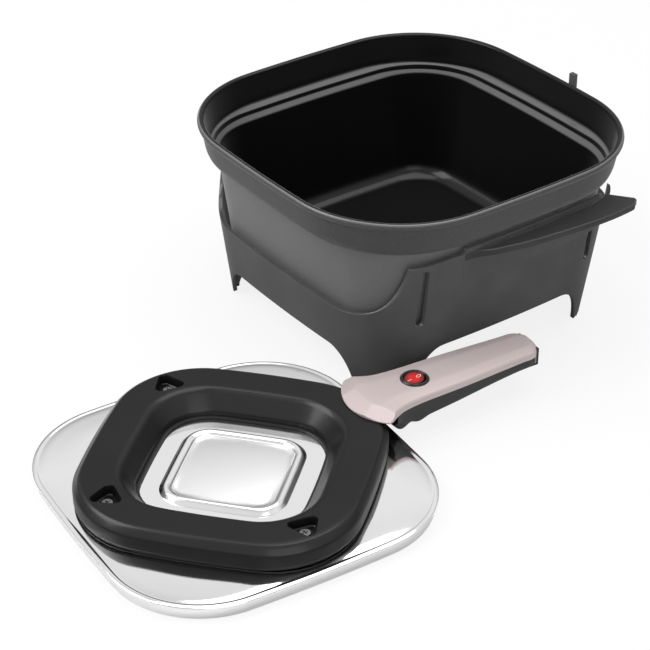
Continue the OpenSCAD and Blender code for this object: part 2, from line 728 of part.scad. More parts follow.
// Everything in front of the nose's arc, and above the three facets that fall to it.
module off_the_nose(inset) {
    translate([0, nose_at + nose_r, 0]) {
        difference() {
            translate([-2 * nose_half, -nose_r - past, 0])
                cube([4 * nose_half, nose_deep + past, 3 * past]);
            translate([0, 0, -1]) cylinder(r = nose_r - inset, h = 4 * past, $fn = 180);
        }
        for (k = [-1:1]) rotate(k * facet_turn) translate([0, facet_w - nose_r, crown_z])
            rotate([atan((crown - nose_edge) / facet_w), 0, 0])
                translate([-2 * nose_half, -2 * nose_half, -inset])
                    cube([4 * nose_half, 2 * nose_half, past]);
    }
}

module cover_form(inset, low) difference() {
    loft([for (t = cover_stations) if (t < end_at - inset) cover_section(t, inset, low)]);
    off_the_nose(inset);
}

module handle_cover() at_lid() color("#bda9a6") difference() {
    union() {
        difference() {
            cover_form(0, split_z);
            cover_form(handle_wall, split_z - 1);
        }
        for (t = cover_fix) translate([0, t, split_z]) cylinder(d = 8, h = crown - 1);
        loft([for (t = [body_end + fit, end_at - 1.5, end_at]) cover_section(t, 0, split_z - wrap)]);
    }
    for (t = cover_fix) translate([0, t, 0]) cylinder(d = screw_d + 2 * screw_fit, h = split_z + 4.5);
    translate([0, switch_at, 0]) {
        cylinder(d = switch_cut, h = 3 * past);
        translate([0, 0, seat_z]) cylinder(d = bezel_d + fit, h = past);
    }
    inlet_cut();
}

module handle_body() at_lid() color("#1f1f20") difference() {
    union() {
        difference() {
            loft([for (t = body_stations) body_section(t, 0, body_top)]);
            loft([for (t = body_stations) if (t > body_at + 2 && t < body_end - handle_wall)
                concat(body_section(t, handle_wall, body_top),
                       [[handle_wall + 1 - handle_half(t), t, body_top + 1],
                        [handle_half(t) - handle_wall - 1, t, body_top + 1]])]);
        }
        for (t = concat([strap_fix], cover_fix)) translate([0, t, body_z]) {
            translate([0, 0, -1]) cylinder(d = head_d + 4, h = 6);
            cylinder(d = tube_d, h = (t == strap_fix ? strap_z - fit / 3 : body_top) - body_z);
        }
    }
    for (t = concat([strap_fix], cover_fix)) translate([0, t, 0]) {
        cylinder(d = screw_d + 2 * screw_fit, h = 3 * past);
        cylinder(d = head_d + 1, h = body_z + 3);
    }
    translate([-strap_w / 2 - fit, body_at - 1, strap_z - fit]) cube([strap_w + 2 * fit, 8, past]);
    lead_places() translate([0, body_at - 1, lead_z]) rotate([-90, 0, 0]) cylinder(d = lead_d + 1, h = 8);
    inlet_cut();
}

// Steel strap from the ring's corner into the handle.
module handle_bracket() at_lid() color("silver") difference() {
    translate([0, 0, strap_z]) linear_extrude(strap_t) union() {
        translate([-strap_head / 2, strap_screw_y - 5]) square([strap_head, 11]);
        translate([-strap_w / 2, strap_screw_y]) square([strap_w, strap_fix + 7 - strap_screw_y]);
    }
    strap_screw_places() cylinder(d = screw_d + 2 * screw_fit, h = 3 * past);
    translate([0, strap_fix, 0]) cylinder(d = screw_d + 2 * screw_fit, h = 3 * past);
}

module handle_screws() at_lid() color("silver")
    for (t = concat([strap_fix], cover_fix)) translate([0, t, body_z + 3 - fit / 3])
        screw((t == strap_fix ? strap_z + strap_t + 0.6 : split_z + 4) - body_z - 3);

// ---- Switch ----

module at_switch() at_lid() translate([0, switch_at, 0]) children();

module switch_bezel() at_switch() color("#141414") translate([0, 0, seat_z + fit / 3])
    rotate_extrude() polygon([[mouth_r, 0], [bezel_d / 2, 0], [bezel_d / 2, 0.8],
        [bezel_d / 2 - 0.9, 2], [bezel_d / 2 - 1.8, 2.4], [mouth_r, 1.6]]);

module switch_body() at_switch() color("#26262a") difference() {
    translate([0, 0, seat_z - can_high]) cylinder(d = switch_cut - 2 * screw_fit, h = can_high);
    translate([0, 0, seat_z - can_deep]) cylinder(r = mouth_r, h = past);
    rotate([0, 90, 0]) translate([-pivot_z, 0, 0]) cylinder(d = pivot_d + 0.1, h = past, center = true);
}

module switch_lamp() at_switch() color("#ff7a5a")
    translate([0, 0, seat_z - can_deep]) cylinder(d = 4, h = 2.6);

module switch_rocker() at_switch() color("#d81414")
    translate([0, 0, pivot_z]) rotate([rocker_tilt, 0, 0]) {
        dish_r = 55;
        difference() {
            translate([0, 0, -2]) cylinder(d = rocker_d, h = rocker_high + 2);
            translate([0, 0, rocker_high + dish_r - 0.6]) sphere(r = dish_r, $fn = 96);
        }
        rotate([0, 90, 0]) cylinder(d = pivot_d, h = switch_cut - 1.4, center = true);
    }

// ---- Inlet and wiring ----

module pin_places() for (x = [-7, 0, 7]) translate([x, 0, inlet_z]) children();

module inlet_socket() at_lid() color("#161616") difference() {
    translate([-inlet_w / 2, end_at - inlet_long, inlet_z - inlet_high / 2])
        cube([inlet_w, inlet_long + 0.5, inlet_high]);
    translate([-inlet_w / 2 + socket_wall, end_at - socket_deep, inlet_z - inlet_high / 2 + socket_wall])
        cube([inlet_w - 2 * socket_wall, past, inlet_high - 2 * socket_wall]);
    pin_places() translate([-1 - screw_fit, end_at - inlet_long - 1, -2 - screw_fit])
        cube([2 + 2 * screw_fit, past, 4 + 2 * screw_fit]);
}

module inlet_pins() at_lid() color("#d8c27a")
    pin_places() translate([-1, end_at - inlet_long - 4, -2]) cube([2, inlet_long + 1, 4]);

module inner_leads() at_lid() color("#b8402c") for (side = [-1, 1]) {
    can_side = switch_cut / 2;
    bar([side * lead_x, switch_at + can_side, lead_z],
        [side * lead_x, end_at - inlet_long - 4 - fit, lead_z], lead_d);
    bar([side * lead_x, heater_half, lead_z],
        [side * lead_x, switch_at - can_side, lead_z], lead_d);
    bar([side * (lead_x + lead_d / 2 + fit), heater_half + 2, lead_z],
        [side * heater_gap, heater_half + 2, lead_z], lead_d);
}

stand_shell();
side_grip_left();
side_grip_right();
grip_screws();
pan_rest_pads();
foot_pads();
lid_rest_post();
post_screw();
pan();
lid_plate();
reflector();
heating_element();
element_clips();
element_terminals();
thermal_cutout();
ring_base();
ring_housing();
ring_screws();
handle_bracket();
handle_body();
handle_cover();
handle_screws();
switch_bezel();
switch_body();
switch_lamp();
switch_rocker();
inlet_socket();
inlet_pins();
inner_leads();
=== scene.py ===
"""Looks of a square electric skillet: deep pan in its stand, heated lid with a handle in front.

Laid out as an add-on and run as a script. Metres, +Z up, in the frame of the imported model.
"""

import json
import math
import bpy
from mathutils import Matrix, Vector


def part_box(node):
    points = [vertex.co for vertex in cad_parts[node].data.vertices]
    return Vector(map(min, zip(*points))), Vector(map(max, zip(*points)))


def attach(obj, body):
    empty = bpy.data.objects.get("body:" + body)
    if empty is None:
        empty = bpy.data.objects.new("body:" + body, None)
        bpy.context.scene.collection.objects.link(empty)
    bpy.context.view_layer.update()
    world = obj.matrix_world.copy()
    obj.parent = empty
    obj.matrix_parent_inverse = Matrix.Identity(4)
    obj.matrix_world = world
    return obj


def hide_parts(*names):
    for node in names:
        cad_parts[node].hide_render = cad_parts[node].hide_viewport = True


bl_info = {
    "name": "Electric Skillet",
    "version": (1, 0, 0),
    "blender": (4, 5, 0),
    "location": "3D View > Sidebar > Skillet",
    "description": "Builds the pieces, finishes and stage of a square electric skillet",
    "category": "Object",
}

import bmesh
import bpy
from bpy.props import FloatProperty, FloatVectorProperty, PointerProperty
from mathutils import Matrix, Vector

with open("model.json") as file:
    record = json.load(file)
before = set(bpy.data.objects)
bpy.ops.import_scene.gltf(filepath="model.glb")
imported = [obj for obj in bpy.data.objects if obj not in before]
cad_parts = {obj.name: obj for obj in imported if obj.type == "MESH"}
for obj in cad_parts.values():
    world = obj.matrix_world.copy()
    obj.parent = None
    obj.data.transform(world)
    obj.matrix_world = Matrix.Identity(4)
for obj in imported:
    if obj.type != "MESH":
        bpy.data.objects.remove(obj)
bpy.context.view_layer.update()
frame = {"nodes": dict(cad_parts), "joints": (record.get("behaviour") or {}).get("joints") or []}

MM = 0.001
TAU = 2 * math.pi


# ---- Places worked out from the frame ----


def middle(node):
    """Centre of a node's box."""
    low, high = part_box(node)
    return (low + high) / 2


def half_width(node):
    """Half of a node's box across X."""
    low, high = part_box(node)
    return (high.x - low.x) / 2


PAN_LOW, PAN_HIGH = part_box("pan")
STAND_LOW, STAND_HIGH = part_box("stand_shell")
GRIP_LOW, GRIP_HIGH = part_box("side_grip_right")
RING_LOW, RING_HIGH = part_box("ring_housing")
COVER_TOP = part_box("handle_cover")[1].z
SWITCH_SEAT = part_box("switch_bezel")[0].z
ROCKER = next(j for j in frame["joints"] if j["name"] == "rocker_tilt")

STAND_AT = Vector((middle("pan").x, middle("pan").y, 0))
STAND_HALF = half_width("stand_shell")
LID_AT = Vector((middle("lid_plate").x, middle("lid_plate").y, 0))
LID_TURN = math.atan2(ROCKER["axis"][1], ROCKER["axis"][0])
AT_STAND = Matrix.Translation(STAND_AT)
AT_LID = Matrix.Translation(LID_AT) @ Matrix.Rotation(LID_TURN, 4, "Z")
INTO_LID = AT_LID.inverted()


def lid_points(node):
    """A node's vertices in the lid's own frame, handle along +Y."""
    return [INTO_LID @ Vector(v.co) for v in frame["nodes"][node].data.vertices]


def lid_span(node, axis):
    """A node's lowest and highest place along an axis of the lid's own frame."""
    places = [p[axis] for p in lid_points(node)]
    return min(places), max(places)


LID_HALF = max(abs(x) for x in lid_span("lid_plate", 0))
NOSE_Y, END_Y = lid_span("handle_cover", 1)
SWITCH_AT = (INTO_LID @ middle("switch_bezel")).y
AT_SWITCH = Matrix.Translation((0, SWITCH_AT, 0))


# ---- Outlines, sections and skins ----


def lerp(a, b, t):
    """Value a share t of the way from a to b."""
    return a + (b - a) * t


def bend(a, b, c, steps):
    """Quadratic curve from a to c that leans towards b."""
    points = []
    for i in range(steps + 1):
        t = i / steps
        points.append(tuple((1 - t) ** 2 * p + 2 * t * (1 - t) * q + t * t * r
                            for p, q, r in zip(a, b, c)))
    return points


def through(points, x):
    """Smooth curve through points whose first members rise: value at x."""
    def slope(i):
        if i in (0, len(points) - 1):
            return 0
        return (points[i + 1][1] - points[i - 1][1]) / (points[i + 1][0] - points[i - 1][0])

    i = 0
    while i < len(points) - 2 and x > points[i + 1][0]:
        i += 1
    (x0, y0), (x1, y1) = points[i], points[i + 1]
    w = x1 - x0
    t = min(1, max(0, (x - x0) / w))
    u = 1 - t
    return (y0 * (1 + 2 * t) * u * u + slope(i) * w * t * u * u
            + y1 * t * t * (1 + 2 * u) - slope(i + 1) * w * t * t * u)


def eased(corners, steps=5, closed=False):
    """Polyline through (x, y, cut) corners, each rounded over its cut length."""
    points = []
    count = len(corners)
    for i, (x, y, cut) in enumerate(corners):
        here = Vector((x, y))
        inner = closed or 0 < i < count - 1
        if not inner or cut <= 0:
            points.append((x, y))
            continue
        before = Vector(corners[i - 1][:2]) - here
        after = Vector(corners[(i + 1) % count][:2]) - here
        a = here + before * min(0.48, cut / before.length)
        c = here + after * min(0.48, cut / after.length)
        points += bend(a, here, c, steps)
    return points


def square(half, corner, bow, side_steps=12, corner_steps=22):
    """Square with round corners and slightly bowed sides, anticlockwise."""
    a = half - bow
    c = (2 * a + math.sqrt(4 * a * a - 8 * (a * a - (bow - corner) ** 2))) / 4
    lean = math.atan2(c, c - a)
    points = []
    for quarter in range(4):
        turn = Matrix.Rotation(quarter * TAU / 4, 2)
        for i in range(side_steps + corner_steps):
            if i < side_steps:
                t = lean * (2 * i / side_steps - 1)
                p = Vector((a + bow * math.cos(t), bow * math.sin(t)))
            else:
                t = lean + (TAU / 4 - 2 * lean) * (i - side_steps) / corner_steps
                p = Vector((c + corner * math.cos(t), c + corner * math.sin(t)))
            points.append(tuple(turn @ p))
    return points


def raised(points, z):
    """Plan points at a height."""
    return [(x, y, z) for x, y in points]


def skin(rings, closed=False, caps=True):
    """Vertices and faces of a skin over rings of equally many points."""
    n, m = len(rings[0]), len(rings)
    verts = [p for ring in rings for p in ring]
    faces = []
    for k in range(m if closed else m - 1):
        for i in range(n):
            j = (i + 1) % n
            up = (k + 1) % m
            faces.append((k * n + i, k * n + j, up * n + j, up * n + i))
    if caps and not closed:
        faces.append(tuple(range(n - 1, -1, -1)))
        faces.append(tuple((m - 1) * n + i for i in range(n)))
    return verts, faces


def lathe(profile, steps=96, closed=False):
    """Skin of a profile of (radius, z) points turned about Z."""
    rings = [[(r * math.cos(TAU * i / steps), r * math.sin(TAU * i / steps), z)
              for i in range(steps)] for r, z in profile]
    return skin(rings, closed=closed)


def block(low, high):
    """Vertices and faces of a box."""
    (x0, y0, z0), (x1, y1, z1) = low, high
    return skin([[(x0, y0, z), (x1, y0, z), (x1, y1, z), (x0, y1, z)] for z in (z0, z1)])


def moved(part, matrix):
    """A part's vertices moved by a matrix."""
    verts, faces = part
    return [tuple(matrix @ Vector(v)) for v in verts], faces


def slab(points, low, high):
    """Straight prism over a plan."""
    return skin([raised(points, low), raised(points, high)])


# ---- Objects ----


def as_object(name, parts, smooth=35):
    """One mesh object from several (vertices, faces) parts; smooth is the crease angle."""
    mesh = bpy.data.meshes.new(name)
    build = bmesh.new()
    for verts, faces in parts:
        made = [build.verts.new(v) for v in verts]
        for face in faces:
            build.faces.new([made[i] for i in face])
    bmesh.ops.recalc_face_normals(build, faces=build.faces)
    build.to_mesh(mesh)
    build.free()
    obj = bpy.data.objects.new(name, mesh)
    bpy.context.scene.collection.objects.link(obj)
    crease(obj, smooth)
    return obj


def crease(obj, degrees):
    """Smooth shading with sharp edges above an angle."""
    obj.data.shade_smooth()
    obj.data.set_sharp_from_angle(angle=math.radians(degrees))


def baked(obj):
    """Replaces the object's mesh by its modifiers' result."""
    graph = bpy.context.evaluated_depsgraph_get()
    mesh = bpy.data.meshes.new_from_object(obj.evaluated_get(graph))
    obj.modifiers.clear()
    old = obj.data
    obj.data = mesh
    mesh.name = old.name
    bpy.data.meshes.remove(old)
    return obj


def carve(obj, parts, operation="DIFFERENCE"):
    """Boolean of the object with each tool part in turn."""
    for part in parts:
        tool = as_object("tool", [part])
        change = obj.modifiers.new("carve", "BOOLEAN")
        change.operation = operation
        change.solver = "EXACT"
        change.object = tool
        baked(obj)
        bpy.data.objects.remove(tool)
    return obj


def soften(obj, width, angle=40, segments=3, smooth=35):
    """Rounds the sharp edges, as moulded and cast pieces have them."""
    edge = obj.modifiers.new("soften", "BEVEL")
    edge.width = width
    edge.segments = segments
    edge.limit_method = "ANGLE"
    edge.angle_limit = math.radians(angle)
    edge.miter_outer = "MITER_ARC"
    edge.use_clamp_overlap = True
    baked(obj)
    crease(obj, smooth)
    return obj


def cut_above(obj, point, normal):
    """Cuts the object off above a plane and closes it with a flat facet."""
    build = bmesh.new()
    build.from_mesh(obj.data)
    cut = bmesh.ops.bisect_plane(build, geom=build.verts[:] + build.edges[:] + build.faces[:],
                                 plane_co=point, plane_no=normal, clear_outer=True)
    edges = [e for e in cut["geom_cut"] if isinstance(e, bmesh.types.BMEdge)]
    bmesh.ops.contextual_create(build, geom=edges)
    bmesh.ops.recalc_face_normals(build, faces=build.faces)
    build.to_mesh(obj.data)
    build.free()
    return obj


UNMIRRORED = ("stand", "pan")   # bodies that the lid's polished sheet doesn't show


def settle(obj, place, body, finish, stands_for=()):
    """Puts a finished piece in its place, on its body, with its finish."""
    obj.matrix_world = place
    obj.visible_glossy = body not in UNMIRRORED
    for material in finish if isinstance(finish, (list, tuple)) else [finish]:
        obj.data.materials.append(material)
    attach(obj, body)
    for node in stands_for:
        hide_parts(node)
    return obj


# ---- Shader maths ----


class Wire:
    """A socket in a node tree, used in plain expressions."""

    def __init__(self, nodes, socket):
        self.nodes = nodes
        self.socket = socket

    def __add__(self, other):
        return self.nodes.maths("ADD", self, other)

    def __sub__(self, other):
        return self.nodes.maths("SUBTRACT", self, other)

    def __rsub__(self, other):
        return self.nodes.maths("SUBTRACT", other, self)

    def __mul__(self, other):
        return self.nodes.maths("MULTIPLY", self, other)

    def __abs__(self):
        return self.nodes.maths("ABSOLUTE", self)

    __radd__ = __add__
    __rmul__ = __mul__


class Nodes:
    """A node tree under construction."""

    def __init__(self, owner):
        owner.use_nodes = True
        self.tree = owner.node_tree

    def add(self, kind, settings=None, inputs=None, out=0):
        """Adds a node: its settings first, then its sockets by name or number."""
        node = self.tree.nodes.new(kind)
        for key, value in (settings or {}).items():
            if key == "stops":
                for stop, (place, colour) in zip(self._stops(node, len(value)), value):
                    stop.position = place
                    stop.color = (*colour, 1)
            else:
                setattr(node, key, value)
        for key, value in (inputs or {}).items():
            self.feed(node.inputs[key], value)
        return Wire(self, node.outputs[out])

    @staticmethod
    def _stops(node, count):
        """A ramp's stops, made up to a count."""
        stops = node.color_ramp.elements
        while len(stops) < count:
            stops.new(1)
        return stops

    def feed(self, socket, value):
        """Links a wire to a socket, or sets the socket's own value."""
        if isinstance(value, Wire):
            self.tree.links.new(value.socket, socket)
        elif socket.type == "RGBA" and len(value) == 3:
            socket.default_value = (*value, 1)
        else:
            socket.default_value = value

    def place(self):
        """The object's own coordinates."""
        return self.add("ShaderNodeTexCoord", out="Object")

    def noise(self, scale, detail=2, rough=0.5, vector=None):
        """Soft noise from 0 to 1; the scale counts its blobs in a metre."""
        return self.add("ShaderNodeTexNoise", None, {
            "Vector": vector or self.place(), "Scale": scale, "Detail": detail,
            "Roughness": rough})

    def mask(self, value, low, high):
        """0 below low, 1 above high, smooth between."""
        return self.add("ShaderNodeMapRange", {"interpolation_type": "SMOOTHSTEP"}, {
            "Value": value, "From Min": low, "From Max": high})

    def mix(self, share, first, second):
        """Mix of two colours."""
        return self.add("ShaderNodeMix", {"data_type": "RGBA"},
                        {0: share, 6: first, 7: second}, out=2)

    def axes(self, vector):
        """X, Y and Z of a vector."""
        parts = self.add("ShaderNodeSeparateXYZ", None, {0: vector}).socket.node
        return [Wire(self, parts.outputs[i]) for i in range(3)]

    def rise(self):
        """How far a surface faces up: 1 where it is level, 0 where it is upright."""
        return self.axes(self.add("ShaderNodeNewGeometry", out="Normal"))[2]

    def maths(self, operation, *values):
        """A Math node on wires or numbers."""
        return self.add("ShaderNodeMath", {"operation": operation}, dict(enumerate(values)))

    def bump(self, height, distance):
        """Normal of a surface raised by a height times a distance."""
        return self.add("ShaderNodeBump", None, {
            "Height": height, "Distance": distance, "Strength": 1.0})


class Finish(Nodes):
    """A material under construction round its main shader."""

    def __init__(self, name):
        self.material = bpy.data.materials.new(name)
        super().__init__(self.material)
        self.shader = self.tree.nodes["Principled BSDF"]

    def set(self, **values):
        """Sets or links sockets of the main shader; an underscore stands for a space."""
        for key, value in values.items():
            self.feed(self.shader.inputs[key.replace("_", " ")], value)
        return self.material


def tone(colour, factor):
    """A colour made darker or lighter by a factor."""
    return tuple(min(1, channel * factor) for channel in colour)


def moulded(name, colour, roughness, grain=1500, depth=0.03 * MM, specular=0.4, edge=0.0):
    """Moulded plastic: fine spark grain, faint blotches, and a gloss coat on up-sloping edges."""
    f = Finish(name)
    fine = f.noise(grain, 3)
    broad = f.noise(22, 2)
    up = f.rise()
    rim = f.mask(up, 0.2, 0.6) * (1 - f.mask(up, 0.88, 0.98))
    shade = f.mix(f.mask(broad, 0.3, 0.7), tone(colour, 0.88), tone(colour, 1.12))
    return f.set(Base_Color=f.mix(fine * 0.25, shade, tone(colour, 1.6)),
                 Roughness=roughness + 0.1 * (broad - 0.5) + 0.08 * (fine - 0.5),
                 Specular_IOR_Level=specular, Coat_Weight=rim * edge, Coat_Roughness=0.2,
                 Normal=f.bump(fine, depth))


def cast_coating(name, colour, roughness, specular, glossy_above, coat, painted_shade_above=1.0, lit=1.0,
                 fillet_below=0.0):
    """Non-stick coating over a casting: fine flecks and a soft orange peel.

    It is glossier above one height, painted darker above another as painted shade, painted
    lighter as a painted highlight where the ledge below the first one faces up, and glossy on
    the fillet that ends at a third.
    """
    f = Finish(name)
    place = f.place()
    height = f.axes(place)[2]
    up = f.rise()
    facing = f.mask(up, 0.35, 0.95)
    flecks = f.add("ShaderNodeTexVoronoi", None,
                   {"Vector": place, "Scale": 900.0}, out="Distance")
    light = 1 - f.mask(flecks, 0.06, 0.22)
    peel = f.noise(420, 3, vector=place)
    broad = f.noise(14, 2, vector=place)
    gloss = f.mask(height, glossy_above, glossy_above + 2 * MM) * (0.15 + 0.85 * facing)
    fillet = ((1 - f.mask(height, fillet_below - 8 * MM, fillet_below))
              * f.mask(up, 0.3, 0.6) * (1 - f.mask(up, 0.9, 0.99)))
    shade = f.mix(broad, tone(colour, 0.9), tone(colour, 1.1))
    # Painted shade: the colour is made darker above a height, on the band under the rim.
    shade = f.mix(f.mask(height, painted_shade_above, painted_shade_above + 3 * MM), shade, tone(colour, 0.46))
    # Painted highlight: the colour is made lighter where the ledge faces up.
    painted_ledge_highlight = (f.mask(height, glossy_above - 8 * MM, glossy_above - 4 * MM)
            * (1 - f.mask(height, glossy_above + 6 * MM, glossy_above + 10 * MM)) * facing)
    shade = f.mix(painted_ledge_highlight, shade, tone(colour, lit))
    return f.set(Base_Color=f.mix(light * 0.35, shade, tone(colour, 3)),
                 Roughness=roughness + 0.12 * (peel - 0.5) - 0.08 * light,
                 Specular_IOR_Level=specular,
                 Coat_Weight=(gloss + fillet) * coat, Coat_Roughness=0.2,
                 Normal=f.bump(peel + light * 0.4, 0.05 * MM))


def polished(name, colour, roughness, satin_half):
    """Mirror-polished sheet with faint buffing lines, and a satin square set in it."""
    f = Finish(name)
    place = f.place()
    stretched = f.add("ShaderNodeMapping", None, {"Vector": place, "Scale": (30.0, 900.0, 30.0)})
    lines = f.noise(3, 4, vector=stretched)
    patches = f.noise(9, 3, vector=place)
    x, y, _ = f.axes(place)
    across = f.maths("MAXIMUM", abs(x + y), abs(x - y))
    satin = 1 - f.mask(across, (satin_half - 2 * MM) * math.sqrt(2), satin_half * math.sqrt(2))
    return f.set(Base_Color=f.mix(patches, tone(colour, 0.97), tone(colour, 1.03)),
                 Metallic=1.0,
                 Roughness=(roughness + 0.03 * lines + 0.03 * f.mask(patches, 0.45, 0.75)
                            + 0.22 * satin),
                 Normal=f.bump(lines, 0.004 * MM))


def plated(name, colour, roughness):
    """Plated or drawn metal: fine scratches and a little dulling."""
    f = Finish(name)
    scratches = f.noise(700, 4, 0.7)
    dull = f.noise(60, 2)
    return f.set(Base_Color=f.mix(dull, tone(colour, 0.85), tone(colour, 1.1)),
                 Metallic=1.0,
                 Roughness=roughness + 0.15 * (scratches - 0.5) + 0.1 * dull,
                 Normal=f.bump(scratches, 0.01 * MM))


def lacquer(name, colour):
    """Pearl lacquer on the handle cover: fine metal flake under a satin coat."""
    f = Finish(name)
    place = f.place()
    flake = f.add("ShaderNodeTexVoronoi", None, {"Vector": place, "Scale": 2600.0}, out="Color")
    glint = f.axes(flake)[0]
    cloud = f.noise(16, 2, vector=place)
    shade = f.mix(cloud, tone(colour, 0.95), tone(colour, 1.05))
    return f.set(Base_Color=f.mix(glint * 0.22, shade, tone(colour, 1.35)),
                 Metallic=0.15, Roughness=0.36 + 0.1 * glint, Coat_Weight=0.2,
                 Coat_Roughness=0.2, Normal=f.bump(f.noise(900, 2, vector=place), 0.008 * MM))


def ceramic(name, colour):
    """Unglazed ceramic with fine pores."""
    f = Finish(name)
    pores = f.noise(1200, 4, 0.6)
    return f.set(Base_Color=f.mix(f.mask(pores, 0.6, 0.75), colour, tone(colour, 0.7)),
                 Roughness=0.6 + 0.2 * (pores - 0.5), Normal=f.bump(pores, 0.03 * MM))


def lit_lens(name, colour, glow, radius):
    """Lit translucent rocker: bright in the middle, with its two marks printed on it."""
    f = Finish(name)
    x, y, z = f.axes(f.place())
    out = f.maths("SQRT", x * x + y * y)
    edge = f.mask(out, 0.35 * radius, radius)
    mark_y = 0.52 * radius
    from_ring = f.maths("SQRT", x * x * 1.7 + (y - mark_y) * (y - mark_y))
    ring = 1 - f.mask(abs(from_ring - 1.75 * MM), 0.2 * MM, 0.42 * MM)
    bar = ((1 - f.mask(abs(x), 0.2 * MM, 0.42 * MM))
           * (1 - f.mask(abs(y + mark_y), 1.6 * MM, 2 * MM)))
    marks = f.maths("MAXIMUM", ring, bar) * f.mask(z, 2 * MM, 3 * MM)
    cloud = f.noise(260, 2)
    body = f.mix(edge, colour, tone(colour, 0.2))
    return f.set(Base_Color=f.mix(marks * 0.8, body, (0.95, 0.75, 0.72)),
                 Roughness=0.22 + 0.08 * cloud, Coat_Weight=0.1, Coat_Roughness=0.08,
                 Specular_IOR_Level=0.25,
                 Emission_Color=f.mix(marks * 0.6, f.mix(edge, glow, tone(glow, 0.08)),
                                      (1.0, 0.5, 0.45)),
                 Emission_Strength=0.28)


# ---- Sizes and colours a user would change ----


def length(name, text, millimetres):
    """A size that a user can change."""
    return FloatProperty(name=name, description=text, default=millimetres * MM,
                         subtype="DISTANCE", unit="LENGTH", precision=4)


def colour(name, text, value):
    """A colour that a user can change."""
    return FloatVectorProperty(name=name, description=text, default=value, size=3,
                               min=0, max=1, subtype="COLOR")


class SkilletSizes(bpy.types.PropertyGroup):
    """Sizes that shape the pieces round the frame."""

    side_bow: length("Side bow", "Radius of the bowed sides of pan, lid and stand", 1500)
    pan_corner: length("Pan corner", "Corner radius of the pan's rim", 99)
    body_corner: length("Body corner", "Corner radius of the body under the shoulder", 56)
    pan_wall: length("Pan wall", "Wall of the casting", 3)
    bead: length("Rim bead", "Radius of the rolled bead round the rim", 3)
    band_high: length("Band height", "Height of the flared band under the rim", 27)
    band_lean: length("Band lean", "How much narrower the band is at its foot", 4)
    shoulder: length("Shoulder", "Width of the shoulder under the band", 15.5)
    body_draft: length("Body draft", "How much narrower the body is at its foot", 13)
    base_fillet: length("Base fillet", "Fillet between body and base", 20)

    stand_wall: length("Stand wall", "Wall of the stand's moulding", 3.5)
    top_corner: length("Stand corner", "Corner radius of the stand's top", 58)
    foot_corner: length("Foot corner", "Corner radius of the stand at the worktop", 64)
    stand_draft: length("Stand draft", "How much narrower the stand is at its feet", 11)
    front_high: length("Front wall", "Height of the low front wall", 68)
    back_high: length("Back wall", "Height of the back wall", 102)
    front_arch: length("Front arch", "Crown height of the front and back arches", 31)
    side_arch: length("Side arch", "Crown height of the side arches", 38)
    leg_width: length("Leg width", "Width of a leg beside its corner", 38)
    slot_width: length("Slot width", "Width of a hook slot", 7)
    slot_low: length("Slot foot", "Height of the foot of a hook slot", 64)
    slot_bridge: length("Slot bridge", "Height of the wall's edge over a hook slot", 5)
    slot_in: length("Slot place", "Distance of a hook slot from the corner", 50)

    flange: length("Flange", "Thickness of a grip's flange", 6)
    apron: length("Apron", "Thickness of a grip's apron", 3)
    apron_high: length("Apron height", "Height of the apron below the flange", 20)
    scoop: length("Scoop", "Length over which the apron grows out of the wall", 24)
    grip_start: length("Grip start", "Reach of a grip at its front end", 1)

    lid_corner: length("Lid corner", "Corner radius of the brim", 76)
    sheet: length("Sheet", "Thickness of the pressed plate", 1.2)
    skirt: length("Skirt", "Height of the brim's skirt", 9)
    plate: length("Plate", "Height of the flat top of the plate", 13)
    boss: length("Boss", "Half width of the flat polished square", 39)
    boss_frame: length("Boss frame", "Width of the rolled frame round it", 9)
    boss_dome: length("Boss dome", "How much the polished square is domed", 1.8)
    boss_high: length("Boss height", "Height of that frame above the plate", 4)

    ring_bow: length("Ring bow", "Radius of the bowed sides of the ring", 700)
    ring_in: length("Ring margin", "From the lid's edge to the ring's corners", 7)
    ring_corner: length("Ring corner", "Corner radius of the ring", 70)
    ring_width: length("Ring width", "Width from the ring's outside to its opening", 33)
    funnel: length("Funnel", "How much narrower the opening is at the plate", 13)
    opening_corner: length("Opening corner", "Corner radius of the opening", 35)
    recess_round: length("Recess corner", "Radius of a screw recess's corners", 4)
    recess_reach: length("Recess reach", "From a recess's middle to its corners", 8)
    recess_deep: length("Recess depth", "Depth of the screw recesses", 8.5)

    nose: length("Nose", "Half width of the handle's nose between its corners", 33)
    nose_deep: length("Nose depth", "Depth of the nose's front arc", 15)
    nose_edge: length("Nose edge", "Height of the cover at the nose's front edge", 0.8)
    facet: length("Facet", "Width of the facets that fall to the nose's front edge", 12)
    neck: length("Neck", "Half width of the handle at the switch", 22)
    tail: length("Tail", "Half width of the handle at its far end", 17.5)
    crown: length("Crown", "Height of the cover above its edge", 7)
    crown_fall: length("Crown fall", "How much lower the cover's long edges are", 1.8)
    wrap: length("Wrap", "How far the cover wraps down over the handle's end", 7)
    body_deep: length("Body depth", "Depth of the body below the cover", 21)
    foot_deep: length("Heel depth", "Extra depth of the two heels behind the nose", 3)


